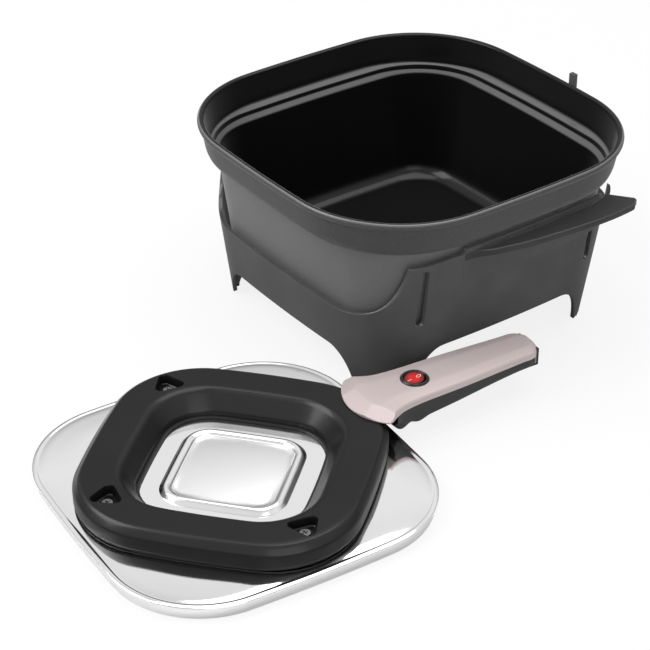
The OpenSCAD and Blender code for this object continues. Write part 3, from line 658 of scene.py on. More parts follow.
class SkilletColours(bpy.types.PropertyGroup):
    """Colours of the finishes."""

    stand: colour("Stand", "Black stand moulding", (0.084, 0.084, 0.085))
    grip: colour("Grips", "Black side grips", (0.05, 0.05, 0.051))
    pan_outside: colour("Pan outside", "Coated outside of the casting", (0.155, 0.155, 0.157))
    pan_inside: colour("Pan inside", "Non-stick inside", (0.004, 0.004, 0.004))
    steel: colour("Polished steel", "Lid plate", (0.88, 0.88, 0.88))
    ring: colour("Ring", "Black phenolic ring", (0.006, 0.006, 0.0065))
    handle: colour("Handle body", "Black handle body", (0.016, 0.017, 0.017))
    cover: colour("Handle cover", "Rose-grey pearl lacquer", (0.55, 0.462, 0.46))
    bezel: colour("Bezel", "Black switch parts", (0.014, 0.014, 0.015))
    lens: colour("Rocker", "Red rocker lens", (0.40, 0.005, 0.009))
    glow: colour("Glow", "Light in the rocker", (1.0, 0.02, 0.02))
    screw: colour("Screws", "Plated screws and strap", (0.62, 0.62, 0.63))
    rubber: colour("Rubber", "Feet and pads", (0.02, 0.02, 0.02))
    heater: colour("Heater", "Oxidised heater sheath", (0.22, 0.22, 0.21))
    reflector: colour("Reflector", "Bright sheet behind the heater", (0.8, 0.8, 0.81))
    ceramic: colour("Ceramic", "Heater bushes", (0.8, 0.77, 0.7))
    brass: colour("Brass", "Pins and cut-out", (0.78, 0.62, 0.3))
    lead: colour("Leads", "Silicone sleeves", (0.45, 0.05, 0.03))
    lamp: colour("Lamp", "Neon lamp under the rocker", (0.9, 0.35, 0.2))
    floor: colour("Floor", "Floor of the stage", (0.86, 0.86, 0.86))


def sizes():
    """Sizes in the current scene."""
    return bpy.context.scene.skillet_sizes


def colours():
    """Colours in the current scene."""
    return bpy.context.scene.skillet_colours


# ---- Stand ----


def side_point(along, half, corner, bow):
    """How far out a bowed side or its corner lies at a distance along it."""
    a = half - bow
    c = (2 * a + math.sqrt(4 * a * a - 8 * (a * a - (bow - corner) ** 2))) / 4
    lean = math.atan2(c, c - a)
    if abs(along) <= bow * math.sin(lean):
        return a + math.sqrt(bow * bow - along * along), c
    return c + math.sqrt(max(0, corner * corner - (abs(along) - c) ** 2)), c


LEG_EASE = 2 * MM       # how far a leg's inner edge leans before it turns into the arch
ARCH_RUN = 26 * MM      # length of the curve from a leg into its arch
FRONT_RUN = 38 * MM     # length of the wall's rise behind the low front
BACK_RUN = 42 * MM      # length of the wall's fall to the back
CORNER_RUN = 34 * MM    # from the stand's side to the first column of its corner
LUG_LONG, LUG_WIDE, LUG_THICK = 44 * MM, 26 * MM, 4 * MM
LUG_AT = 31 * MM        # height at which the lugs' reach is taken


def leg_edge():
    """Distance of a leg's inner edge from the middle of its side."""
    s = sizes()
    return STAND_HALF - s.stand_draft - s.leg_width


def wall_spots(limit):
    """Places along a side where the stand's wall needs a column."""
    s = sizes()
    leg = leg_edge()
    arch = [x for x, _ in bend((leg, 0), (leg - LEG_EASE, 0), (leg - ARCH_RUN, 0), 14)]
    slot = STAND_HALF - s.slot_in
    notch = [slot + s.slot_width / 2 * math.cos(TAU / 2 * i / 10) for i in range(11)]
    step = STAND_AT.y - GRIP_LOW.y
    rise = [STAND_HALF - FRONT_RUN + k * MM for k in (0, 1, 2, 3)] + [step, step + 1 * MM]
    plain = [limit * i / 14 for i in range(15)]
    spots = set()
    for x in arch + notch + rise + plain:
        if x <= limit + 1e-9:
            spots |= {round(x, 7), round(-x, 7)}
    keep = []
    for x in sorted(spots):
        fixed = any(abs(abs(x) - y) < 1e-6 for y in notch + arch + rise)
        if not keep or x - keep[-1] > 0.35 * MM:
            keep.append(x)
        elif fixed:
            keep[-1] = x
    return keep


def build_stand_wall():
    """The stand's wall as one shell, and the lugs inside its corners that carry the pan."""
    s = sizes()
    top_z, foot_z = STAND_HIGH.z, STAND_LOW.z
    slot = STAND_HALF - s.slot_in
    shoulder_z = s.slot_low + s.slot_width / 2
    limit = STAND_HALF - CORNER_RUN
    lip_at = GRIP_LOW.y - STAND_AT.y
    corner_steps = 16

    front = bend((-STAND_HALF, s.front_high + 2 * MM),
                 (30 * MM - STAND_HALF, s.front_high + 6 * MM),
                 (FRONT_RUN - STAND_HALF, GRIP_HIGH.z), 40)
    back = bend((STAND_HALF - BACK_RUN, top_z), (STAND_HALF - 26 * MM, s.back_high + 4 * MM),
                (STAND_HALF, s.back_high), 40)

    def level(curve, y):
        """Height of a curve of (y, z) points."""
        for (y0, z0), (y1, z1) in zip(curve, curve[1:]):
            if y0 <= y <= y1:
                return lerp(z0, z1, (y - y0) / (y1 - y0))
        return curve[0][1] if y < curve[0][0] else curve[-1][1]

    def top_edge(y):
        if y < front[-1][0]:
            return level(front, y)
        if y < lip_at:
            return lerp(GRIP_HIGH.z, top_z, max(0, 1 - (lip_at - y) / MM))
        return top_z if y < back[0][0] else level(back, y)

    def bottom_edge(along, crown):
        leg = leg_edge()
        curve = bend((leg, foot_z - 20 * MM), (leg - LEG_EASE, crown), (leg - ARCH_RUN, crown), 60)
        x = abs(along)
        if x >= curve[0][0]:
            return foot_z
        if x <= curve[-1][0]:
            return crown
        for (x0, z0), (x1, z1) in zip(curve, curve[1:]):
            if x1 <= x <= x0:
                return max(foot_z, lerp(z0, z1, (x0 - x) / (x0 - x1)))
        return foot_z

    def spot(quarter, along, share, z, inset):
        """Point of the wall at a height; share is how far round the corner it lies."""
        rise = z / top_z
        half = STAND_HALF - s.stand_draft * (1 - rise) - inset
        corner = lerp(s.foot_corner, s.top_corner, rise) - inset
        if share is None:
            out, _ = side_point(along, half, corner, s.side_bow)
            p = Vector((out, along))
        else:
            _, c = side_point(0, half, corner, s.side_bow)
            start = math.asin(min(1, max(-1, (limit - c) / corner)))
            t = lerp(start, TAU / 4 - start, share)
            p = Vector((c + corner * math.cos(t), c + corner * math.sin(t)))
        p = Matrix.Rotation(quarter * TAU / 4, 2) @ p
        return Vector((p.x, p.y, z))

    spots = wall_spots(limit)
    columns = []
    for q in range(4):
        columns += [(q, x, None) for x in spots]
        columns += [(q, limit, (k + 1) / (corner_steps + 1)) for k in range(corner_steps)]

    def edges_of(column):
        """Heights of a column's foot, knee and top, and whether a slot takes its middle."""
        quarter, along, share = column
        sideways = quarter in (0, 2)
        crown = s.side_arch if sideways else s.front_arch
        low = foot_z if share is not None else bottom_edge(along, crown)
        a, b = s.front_high, top_z
        for _ in range(40):
            z = (a + b) / 2
            if top_edge(spot(quarter, along, share, z, 0).y) > z:
                a = z
            else:
                b = z
        high = (a + b) / 2
        knee = shoulder_z
        in_notch = (sideways and share is None
                    and abs(abs(along) - slot) < s.slot_width / 2 + 1e-6)
        if in_notch:
            reach = min(1, abs(abs(along) - slot) / (s.slot_width / 2))
            knee = shoulder_z - s.slot_width / 2 * math.sqrt(1 - reach * reach)
        return low, knee, high, in_notch

    lower, upper = 10, 8
    outer, inner, notched = [], [], []
    for column in columns:
        low, knee, high, in_notch = edges_of(column)
        notched.append(in_notch)
        rows = [lerp(low, knee, i / lower) for i in range(lower + 1)]
        bridge = max(lerp(knee, high, (upper - 1) / upper), high - s.slot_bridge)
        rows += [lerp(knee, bridge, (i + 1) / (upper - 1)) for i in range(upper - 1)] + [high]
        outer.append([spot(*column, z, 0) for z in rows])
        inner.append([spot(*column, z, s.stand_wall) for z in rows])

    n, rows = len(columns), lower + upper + 1
    verts = [p for grid in (outer, inner) for line in grid for p in line]
    faces, rim = [], {}

    def vert(side, i, j):
        return (side * n + i % n) * rows + j

    for i in range(n):
        blocked = notched[i] and notched[(i + 1) % n]
        for j in (j for j in range(rows - 1) if not (blocked and lower <= j < rows - 2)):
            quad = [(i, j), (i + 1, j), (i + 1, j + 1), (i, j + 1)]
            faces.append(tuple(vert(0, *q) for q in quad))
            faces.append(tuple(vert(1, *q) for q in reversed(quad)))
            for a, b in zip(quad, quad[1:] + quad[:1]):
                a, b = (a[0] % n, a[1]), (b[0] % n, b[1])
                if (b, a) in rim:
                    del rim[(b, a)]
                else:
                    rim[(a, b)] = True
    for a, b in rim:
        faces.append((vert(0, *b), vert(0, *a), vert(1, *a), vert(1, *b)))
    used = sorted({v for face in faces for v in face})
    index = {v: k for k, v in enumerate(used)}
    wall = ([verts[v] for v in used], [tuple(index[v] for v in face) for face in faces])

    obj = as_object("stand_wall", [wall])
    soften(obj, 0.9 * MM, angle=50, segments=3, smooth=50)

    lugs = []
    reach = math.hypot(*spot(0, 0, 0.5, LUG_AT, 0).xy)
    lug_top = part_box("pan_rest_pads")[0].z
    under = lug_top - LUG_THICK
    for quarter in range(4):
        turn = Matrix.Rotation((quarter + 0.5) * TAU / 4, 4, "Z")
        shelf = block((reach - LUG_LONG, -LUG_WIDE / 2, under),
                      (reach - s.stand_wall / 2, LUG_WIDE / 2, lug_top))
        rib_plan = [(reach - LUG_LONG + 4 * MM, under), (reach - 3.5 * MM, lug_top - 22 * MM),
                    (reach - s.stand_wall / 2, under)]
        rib = skin([[(x, y, z) for x, z in rib_plan] for y in (-1.5 * MM, 1.5 * MM)])
        lugs += [moved(shelf, turn), moved(rib, turn)]
    shelves = soften(as_object("pan_lugs", lugs), 0.8 * MM, segments=2)
    return obj, shelves


def build_grip(side):
    """Crescent flange with an apron that grow out of the wall and end in a free round tip."""
    s = sizes()
    front = GRIP_LOW.y - STAND_AT.y
    tip = GRIP_HIGH.y - STAND_AT.y
    reach = GRIP_HIGH.x - STAND_AT.x - STAND_HALF
    top = GRIP_HIGH.z
    low = top - s.flange
    tongue_at = tip - 14 * MM
    fade_from, fade_to = tip + 1 * MM, tip + 6 * MM
    # Reach beyond the wall's top at places along the grip
    plan = [(front, s.grip_start), (-20 * MM, reach - 12 * MM), (10 * MM, reach - 6 * MM),
            (70 * MM, reach - 0.5 * MM), (tip - 7 * MM, reach - 2 * MM), (tip, reach - 7 * MM)]

    def wall(y, z):
        """How far out the stand's wall lies behind the grip."""
        rise = z / STAND_HIGH.z
        out, _ = side_point(y, STAND_HALF - s.stand_draft * (1 - rise),
                            lerp(s.foot_corner, s.top_corner, rise), s.side_bow)
        return out + 0.05 * MM

    def grown(y):
        """How much of its full section the grip has grown to."""
        t = max(0, min(1, (y - front) / s.scoop))
        return 0.02 + 0.98 * t * t * (3 - 2 * t)

    def flange(y):
        free = max(0, (y - tongue_at) / (tip - tongue_at))
        inner = lerp(wall(min(y, tongue_at), top), STAND_HALF + plan[-1][1] - 4 * MM, free)
        outer = lerp(wall(y, top), STAND_HALF + through(plan, y) - 0.2 * MM, grown(y))
        outer = max(outer, inner + 0.1 * MM)
        soft = min(2 * MM * grown(y), (outer - inner) / 3)
        corners = [(inner, top, soft / 2), (outer, top, soft), (outer, low, soft),
                   (inner, low, soft / 2)]
        return [(side * x, y, z) for x, z in eased(corners, 4, closed=True)]

    def apron(y):
        fade = max(0, min(1, (y - fade_from) / (fade_to - fade_from)))
        foot = low + 1 * MM - (s.apron_high + 1 * MM) * math.sqrt(max(0.02, 1 - fade * fade))
        thick = s.apron * grown(y)
        root = low + 1 * MM
        corners = [(wall(y, low) - 0.5 * MM, root, 0), (wall(y, low) + thick, root, 0),
                   (wall(y, foot) + thick, foot, 1.2 * MM * grown(y)),
                   (wall(y, foot) - 0.5 * MM, foot, 0)]
        return [(side * x, y, z) for x, z in eased(corners, 4, closed=True)]

    run = [lerp(front, tongue_at, i / 48) for i in range(49)]
    run += [tongue_at + (tip - tongue_at) * math.sin(TAU / 4 * (i + 1) / 14) for i in range(14)]
    under = [lerp(front, fade_to, i / 70) for i in range(71)]
    tongue = skin([flange(y) for y in run])
    obj = as_object("grip_right" if side > 0 else "grip_left",
                    [tongue, skin([apron(y) for y in under])], smooth=45)
    for i, face in enumerate(obj.data.polygons):
        face.material_index = int(i >= len(tongue[1]))
    return obj


class SKILLET_OT_stand(bpy.types.Operator):
    """Builds the stand's moulded wall with its arches, hook slots and pan lugs"""

    bl_idname = "skillet.stand"
    bl_label = "Stand"

    def execute(self, context):
        finish = moulded("stand plastic", tuple(colours().stand), 0.5, specular=0.06, edge=1.0)
        wall, lugs = build_stand_wall()
        settle(wall, AT_STAND, "stand", finish, ["stand_shell"])
        settle(lugs, AT_STAND, "stand", finish)
        return {"FINISHED"}


class SKILLET_OT_grips(bpy.types.Operator):
    """Builds the two side grips"""

    bl_idname = "skillet.grips"
    bl_label = "Side grips"

    def execute(self, context):
        finish = moulded("grip plastic", tuple(colours().grip), 0.42, grain=2200,
                         depth=0.015 * MM, specular=0.06, edge=0.8)
        apron = moulded("apron plastic", tuple(colours().stand), 0.5, specular=0.06)
        for side, node in ((1, "side_grip_right"), (-1, "side_grip_left")):
            settle(build_grip(side), AT_STAND, "stand", [finish, apron], [node])
        return {"FINISHED"}


# ---- Pan ----


class SKILLET_OT_pan(bpy.types.Operator):
    """Builds the deep cast pan with its flared band, ledge and rolled rim"""

    bl_idname = "skillet.pan"
    bl_label = "Pan"

    def execute(self, context):
        s = sizes()
        half = half_width("pan")
        rim_z, base_z = PAN_HIGH.z, PAN_LOW.z
        band_z = rim_z - 5 * MM - s.band_high
        ledge_z = band_z + 6 * MM
        band_foot = s.bead + s.band_lean
        waist = band_foot + s.shoulder
        foot = waist + s.body_draft
        floor_z = base_z + s.pan_wall
        outside = eased([
            (foot + s.base_fillet * 1.6, base_z, 0),
            (foot, base_z, s.base_fillet * 0.9),
            (waist + 0.1 * MM, band_z - 2.5 * MM, 1.2 * MM),
            (waist - 1.5 * MM, band_z - 0.6 * MM, 1.5 * MM),
            (band_foot, band_z + 1.6 * MM, 9 * MM),
            (s.bead, rim_z - 2.2 * s.bead, 0.8 * MM),
            (s.bead * 0.9, rim_z - 2 * s.bead, 0)], 8)
        bead = [(s.bead * (1 - math.cos(t)), rim_z - s.bead + s.bead * math.sin(t))
                for t in (math.radians(-60 + 16 * k) for k in range(16))]
        ledge = eased([
            (2 * s.bead, rim_z - s.bead, 0),
            (band_foot + 2 * MM, ledge_z + 5 * MM, 3 * MM),
            (band_foot + 4.2 * MM, ledge_z, 2.5 * MM),
            (band_foot + 9.8 * MM, ledge_z - 0.2 * MM, 1.6 * MM),
            (band_foot + 10.8 * MM, ledge_z - 4.6 * MM, 1.4 * MM),
            (waist + s.pan_wall - 1 * MM, ledge_z - 5 * MM, 2.2 * MM),
            (waist + s.pan_wall + 0.4 * MM, ledge_z - 10 * MM, 2.4 * MM),
            (foot + s.pan_wall, floor_z, (s.base_fillet - s.pan_wall) * 0.95),
            (foot + s.base_fillet * 1.8, floor_z, 0)], 8)
        profile = outside + bead + ledge

        def ring(inset, z):
            across = min(1, max(0, (inset - band_foot) / s.shoulder))
            turn = lerp(s.pan_corner, s.body_corner + waist, across)
            return raised(square(half - inset, turn - inset, s.side_bow), z)

        rings = [ring(inset, z) for inset, z in profile]
        obj = as_object("pan_casting", [skin(rings)], smooth=60)
        outer_faces = (len(outside) + len(bead) // 2) * len(rings[0])
        for i, face in enumerate(obj.data.polygons):
            face.material_index = 0 if i < outer_faces or i == len(obj.data.polygons) - 2 else 1
        settle(obj, AT_STAND, "pan",
               # The outside's band under the rim is painted darker as painted shade.
               [cast_coating("pan outside", tuple(colours().pan_outside), 0.45, 0.1,
                             rim_z - 6 * MM, 1.0, painted_shade_above=band_z - 1 * MM),
                # The inside's ledge is painted lighter where it faces up as a painted highlight.
                cast_coating("pan inside", tuple(colours().pan_inside), 0.5, 0.02,
                             ledge_z - 4 * MM, 0.6, lit=32.0,
                             fillet_below=floor_z + s.base_fillet)], ["pan"])
        return {"FINISHED"}


# ---- Lid ----


def ring_radius(half):
    """Corner radius of the ring's outline at a half width."""
    s = sizes()
    ring_half = ring_outside()
    low = ring_half - s.ring_width - s.funnel
    return s.opening_corner + (s.ring_corner - s.opening_corner) * (half - low) / (ring_half - low)


def ring_outside():
    """Half width of the ring across its sides."""
    s = sizes()
    return s.ring_corner + (LID_HALF - s.ring_in - s.ring_corner) / math.sqrt(2)


def hoop(half, z):
    """Outline of the ring, turned an eighth against the lid, at a half width and height."""
    turn = Matrix.Rotation(TAU / 8, 2)
    points = square(half, ring_radius(half), sizes().ring_bow)
    return [(*(turn @ Vector(p)), z) for p in points]


BOSS_CORNER = 12 * MM                   # corner radius of the polished square
RECESS_TURN = math.radians(82)          # how a screw recess is turned against the ring


class SKILLET_OT_lid_plate(bpy.types.Operator):
    """Builds the pressed steel plate with its brim and the framed polished square"""

    bl_idname = "skillet.lid_plate"
    bl_label = "Lid plate"

    def execute(self, context):
        s = sizes()
        half = LID_HALF - 0.2 * MM
        skirt_in = 2.4 * MM
        brim = s.skirt + skirt_in
        profile = eased([
            (40 * MM, s.plate - s.sheet, 0),
            (14 * MM, s.plate - s.sheet, 2 * MM),
            (9.5 * MM, brim - s.sheet, 2 * MM),
            (skirt_in + s.sheet, brim - s.sheet, 1 * MM),
            (skirt_in + s.sheet, 0, 0.2 * MM),
            (skirt_in, 0, 0.2 * MM),
            (skirt_in, s.skirt - 0.6 * MM, 0.8 * MM),
            (0, s.skirt + 0.2 * MM, 0.8 * MM),
            (0, s.skirt + 1.9 * MM, 1.1 * MM),
            (2.8 * MM, s.skirt + 2.7 * MM, 1.1 * MM),
            (4.4 * MM, brim - 0.2 * MM, 0.8 * MM),
            (9 * MM, brim + 0.6 * MM, 4 * MM),
            (26 * MM, s.plate, 12 * MM),
            (40 * MM, s.plate, 0)], 8)
        rings = [raised(square(half - inset, s.lid_corner - inset, s.side_bow, 16, 28), z)
                 for inset, z in profile]
        outer = s.boss + s.boss_frame
        level = s.plate + s.boss_high * 0.45
        frame_profile = eased([
            (outer + 1.5 * MM, s.plate - 0.4 * MM, 0),
            (outer + 0.6 * MM, s.plate + 0.1 * MM, 0.8 * MM),
            (outer - 0.30 * s.boss_frame, s.plate + s.boss_high * 0.9, 1.8 * MM),
            (outer - 0.55 * s.boss_frame, s.plate + s.boss_high * 1.05, 1.2 * MM),
            (outer - 0.86 * s.boss_frame, s.plate + s.boss_high * 0.75, 1.2 * MM),
            (s.boss + 0.5 * MM, level, 0.8 * MM),
            (s.boss - 0.4 * MM, level, 0)], 6)
        domed = [(s.boss * share, None) for share in (0.96, 0.88, 0.78, 0.64, 0.48, 0.3, 0.12)]
        turn = Matrix.Rotation(TAU / 8, 2)
        boss = []
        for x, z in frame_profile + domed:
            corner = max(3 * MM, BOSS_CORNER + x - s.boss)
            plan = [turn @ Vector(p) for p in square(x, corner, s.side_bow, 8, 16)]
            boss.append([(*p, level + s.boss_dome * (1 - p.length_squared / s.boss ** 2)
                          if z is None else z) for p in plan])
        obj = as_object("lid_plate_pressing", [skin(rings), skin(boss)], smooth=50)
        settle(obj, AT_LID, "lid",
               polished("polished steel", tuple(colours().steel), 0.06, s.boss), ["lid_plate"])
        return {"FINISHED"}


def recess_plan(grow):
    """Rounded triangle of a screw recess, grown by a margin."""
    s = sizes()
    points = []
    for k in range(3):
        a = TAU / 3 * k + RECESS_TURN
        for i in range(13):
            b = a + math.radians(-60 + 10 * i)
            points.append((s.recess_reach * math.cos(a) + (s.recess_round + grow) * math.cos(b),
                           s.recess_reach * math.sin(a) + (s.recess_round + grow) * math.sin(b)))
    return points


class SKILLET_OT_ring(bpy.types.Operator):
    """Builds the moulded ring with its funnel and three screw recesses"""

    bl_idname = "skillet.ring"
    bl_label = "Ring"

    def execute(self, context):
        s = sizes()
        low, top = RING_LOW.z, RING_HIGH.z
        half = ring_outside()
        wide = half - s.ring_width
        narrow = wide - s.funnel
        wall = 3 * MM
        profile = eased([
            (half - 1 * MM, low, 0), (half, low + 1.2 * MM, 0.8 * MM),
            (half, top - 6.5 * MM, 1.5 * MM), (half - 4.5 * MM, top - 1.2 * MM, 2 * MM),
            (half - 7 * MM, top, 2 * MM), (wide + 3 * MM, top, 2.5 * MM),
            (wide - 0.5 * MM, top - 2.2 * MM, 2 * MM), (narrow + 2.5 * MM, low + 3 * MM, 2 * MM),
            (narrow + 2 * MM, low, 0), (narrow + 2 * MM + wall, low, 0),
            (wide + wall, top - 4.5 * MM, 1 * MM), (wide + 2 * MM + wall, top - wall, 0),
            (half - 5 * MM - wall, top - wall, 0), (half - wall, top - 5 * MM - wall, 1 * MM),
            (half - wall, low, 0)], 5, closed=True)
        obj = as_object("ring_moulding", [skin([hoop(x, z) for x, z in profile], closed=True)])
        screws = sorted({round(math.degrees(math.atan2(-p.x, p.y)) / 90) for p in recess_spots()})
        places = [Matrix.Rotation(k * TAU / 4, 4, "Z")
                  @ Matrix.Translation((0, recess_distance(), 0)) for k in screws]
        pocket = slab(recess_plan(2.2 * MM), low, top - 1 * MM)
        carve(obj, [moved(pocket, p) for p in places], "UNION")
        floor = top - s.recess_deep
        tool = [raised(recess_plan(grow), z) for grow, z in (
            (-1.2 * MM, floor), (-0.3 * MM, floor + 0.8 * MM), (0, top - 1 * MM),
            (0.9 * MM, top + 0.4 * MM), (4 * MM, top + 4 * MM))]
        carve(obj, [moved(skin(tool), p) for p in places])
        crease(obj, 32)
        settle(obj, AT_LID, "lid",
               moulded("ring plastic", tuple(colours().ring), 0.36, grain=2400,
                       depth=0.01 * MM, specular=0.2, edge=0.4),
               ["ring_housing"])
        return {"FINISHED"}


def recess_spots():
    """Middles of the ring screws' heads outside the strap, in the lid's frame."""
    points = lid_points("ring_screws")
    far = max(p.y for p in points)
    spots = []
    for p in points:
        if p.y < 0.6 * far and all((q.xy - p.xy).length >= 20 * MM for q in spots):
            spots.append(p)
    return spots


def recess_distance():
    """Distance of the recesses from the ring's middle."""
    right = [p.x for p in lid_points("ring_screws") if p.x > 60 * MM]
    return (max(right) + min(right)) / 2


# ---- Handle ----


CUTOUT = 20.2 * MM / 2      # radius of the switch's cut-out in the handle
LENS = 8 * MM               # radius of the rocker's lens


def nose_radius():
    """Radius of the arc at the front of the nose."""
    s = sizes()
    return (s.nose ** 2 + s.nose_deep ** 2) / (2 * s.nose_deep)


def handle_half(t):
    """Half width of the handle at a distance from the lid's middle, nose arc left aside."""
    s = sizes()
    corner, end = NOSE_Y + s.nose_deep, END_Y
    flare = s.nose - s.neck
    return through([(corner, s.nose), (corner + 12 * MM, s.neck + flare * 0.5),
                    (corner + 19 * MM, s.neck + flare * 0.25),
                    (corner + 31 * MM, s.neck + flare * 0.08), (SWITCH_AT, s.neck),
                    (SWITCH_AT + 34 * MM, s.neck - 1 * MM), (end - 18 * MM, s.tail),
                    (end - 8 * MM, s.tail - 0.4 * MM), (end - 3 * MM, s.tail - 3 * MM),
                    (end, s.tail - 7 * MM)], max(t, corner))


def cover_section(t, low, split):
    """Section of the cover: upright edges, soft shoulders, sides that rise to a flat crown."""
    s = sizes()
    w, high = handle_half(t), s.crown
    edge = high - s.crown_fall
    lean = s.crown_fall / (w / 2)
    side = [(-w, low - split)]
    side += bend((-w, edge - 2.5 * MM), (-w, edge), (-w + 3 * MM, edge + 3 * MM * lean), 10)
    side += bend((-w / 2 - 1.4 * MM, high - 1.4 * MM * lean), (-w / 2, high),
                 (-w / 2 + 1.4 * MM, high), 4)
    side += [(-x, z) for x, z in reversed(side)]
    return [(x, t, split + z) for x, z in side]


def blunt(value, power):
    """A power that keeps its value's sign."""
    return math.copysign(abs(value) ** power, value)


def build_cover(split):
    """Cover of the handle: faceted nose, flare, crowned grip and an end that wraps down."""
    s = sizes()
    start, end = NOSE_Y, END_Y
    corner = start + s.nose_deep
    wrap_at = end - 4 * MM
    stations = [start - 1 * MM, corner] + [corner + d * MM for d in range(1, 32)]
    stations += [lerp(corner + 32 * MM, end - 18 * MM, k / 24) for k in range(25)]
    stations += [end - d * MM for d in (15, 12, 10, 8, 6.5, 5.2, 4.2)]
    main = [cover_section(t, split, split) for t in stations + [wrap_at - 0.01 * MM]]
    tail = [end - d * MM for d in (4, 3, 2.2, 1.5, 1, 0.6, 0.3, 0)]
    main += [cover_section(t, split - s.wrap, split) for t in tail]
    cover = as_object("handle_cover_shell", [skin(main)])

    radius = nose_radius()
    reach = math.asin(s.nose / radius)
    arc = [(radius * math.sin(a), start + radius * (1 - math.cos(a)))
           for a in (lerp(-reach, reach, k / 60) for k in range(61))]
    out = 3 * s.nose
    front = [(-out, arc[0][1])] + arc + [(out, arc[-1][1]), (out, start - out), (-out, start - out)]
    carve(cover, [slab(front, split - 20 * MM, split + 20 * MM)])
    slope = math.atan((s.crown - s.nose_edge) / s.facet)
    for k in (-1, 0, 1):
        turn = Matrix.Rotation(math.radians(42 * k), 4, "Z")
        spot = Vector((0, start + radius, 0)) + turn @ Vector((0, s.facet - radius, 0))
        normal = turn @ Vector((0, -math.sin(slope), math.cos(slope)))
        cut_above(cover, (spot.x, spot.y, split + s.crown), normal)
    return cover


def build_body(split):
    """Black underside of the handle with two heels, screw wells and room for the switch."""
    s = sizes()
    body_at, body_end = lid_span("handle_body", 1)
    top = split - 0.1 * MM
    steps = 40

    def deep(t):
        """Depth of the body below the cover."""
        return through([(body_at, s.body_deep - 7 * MM),
                        (body_at + 8 * MM, s.body_deep + s.foot_deep),
                        (body_at + 17 * MM, s.body_deep),
                        (body_at + 26 * MM, s.body_deep + s.foot_deep),
                        (body_at + 36 * MM, s.body_deep), (body_end, s.body_deep - 9 * MM)], t)

    def under(t):
        points = []
        for i in range(steps + 1):
            a = TAU / 2 * i / steps
            points.append(((handle_half(t) - 1 * MM) * blunt(math.cos(a), 0.6), t,
                           top - deep(t) * math.sin(a) ** 0.5))
        return points

    runs = [body_at + d * MM for d in (0, 0.6, 1.6, 3)]
    runs += [body_at + (3 + k * 1.5) * MM for k in range(1, 23)]
    runs += [lerp(body_at + 36 * MM, body_end, (k + 1) / 22) for k in range(22)]
    body = as_object("handle_body_shell", [skin([under(t) for t in runs])])
    wells = [moved(lathe([(4.5 * MM, 0), (4.5 * MM, spot.z + 3 * MM)], 48),
                   Matrix.Translation((spot.x, spot.y, 0)))
             for spot in screw_spots("handle_screws")]
    room = CUTOUT + 0.2 * MM
    cavity = lathe([(room, SWITCH_SEAT - 17 * MM), (room, split + 5 * MM)])
    carve(body, wells + [moved(cavity, AT_SWITCH), inlet_cut()])
    crease(body, 30)
    return body


class SKILLET_OT_handle(bpy.types.Operator):
    """Builds the handle's lacquered cover and its black body"""

    bl_idname = "skillet.handle"
    bl_label = "Handle"

    def execute(self, context):
        split = COVER_TOP - sizes().crown
        bezel = half_width("switch_bezel") + 0.1 * MM
        over = split + 20 * MM
        cover = build_cover(split)
        soften(cover, 0.8 * MM, angle=14, segments=2, smooth=18)
        carve(cover, [moved(lathe([(CUTOUT, split - 5 * MM), (CUTOUT, over)]), AT_SWITCH),
                      moved(lathe([(bezel, SWITCH_SEAT), (bezel, over)]), AT_SWITCH),
                      inlet_cut()])
        crease(cover, 16)
        settle(cover, AT_LID, "lid",
               lacquer("rose lacquer", tuple(colours().cover)), ["handle_cover"])
        settle(build_body(split), AT_LID, "lid",
               moulded("handle plastic", tuple(colours().handle), 0.4, grain=2000,
                       depth=0.015 * MM), ["handle_body"])
        return {"FINISHED"}


def inlet_cut():
    """Room for the inlet block at the handle's end."""
    low, high = zip(*(lid_span("inlet_socket", i) for i in range(3)))
    gap = 0.3 * MM
    return block([v - gap for v in low], (high[0] + gap, high[1] + 20 * MM, high[2] + gap))


def screw_spots(node):
    """Middles of a node's screws with their lowest height, in the lid's frame."""
    groups = []
    for p in lid_points(node):
        for group in groups:
            if (group[0].xy - p.xy).length < 12 * MM:
                group.append(p)
                break
        else:
            groups.append([p])
    return [Vector(((min(p.x for p in g) + max(p.x for p in g)) / 2,
                    (min(p.y for p in g) + max(p.y for p in g)) / 2,
                    min(p.z for p in g))) for g in groups]


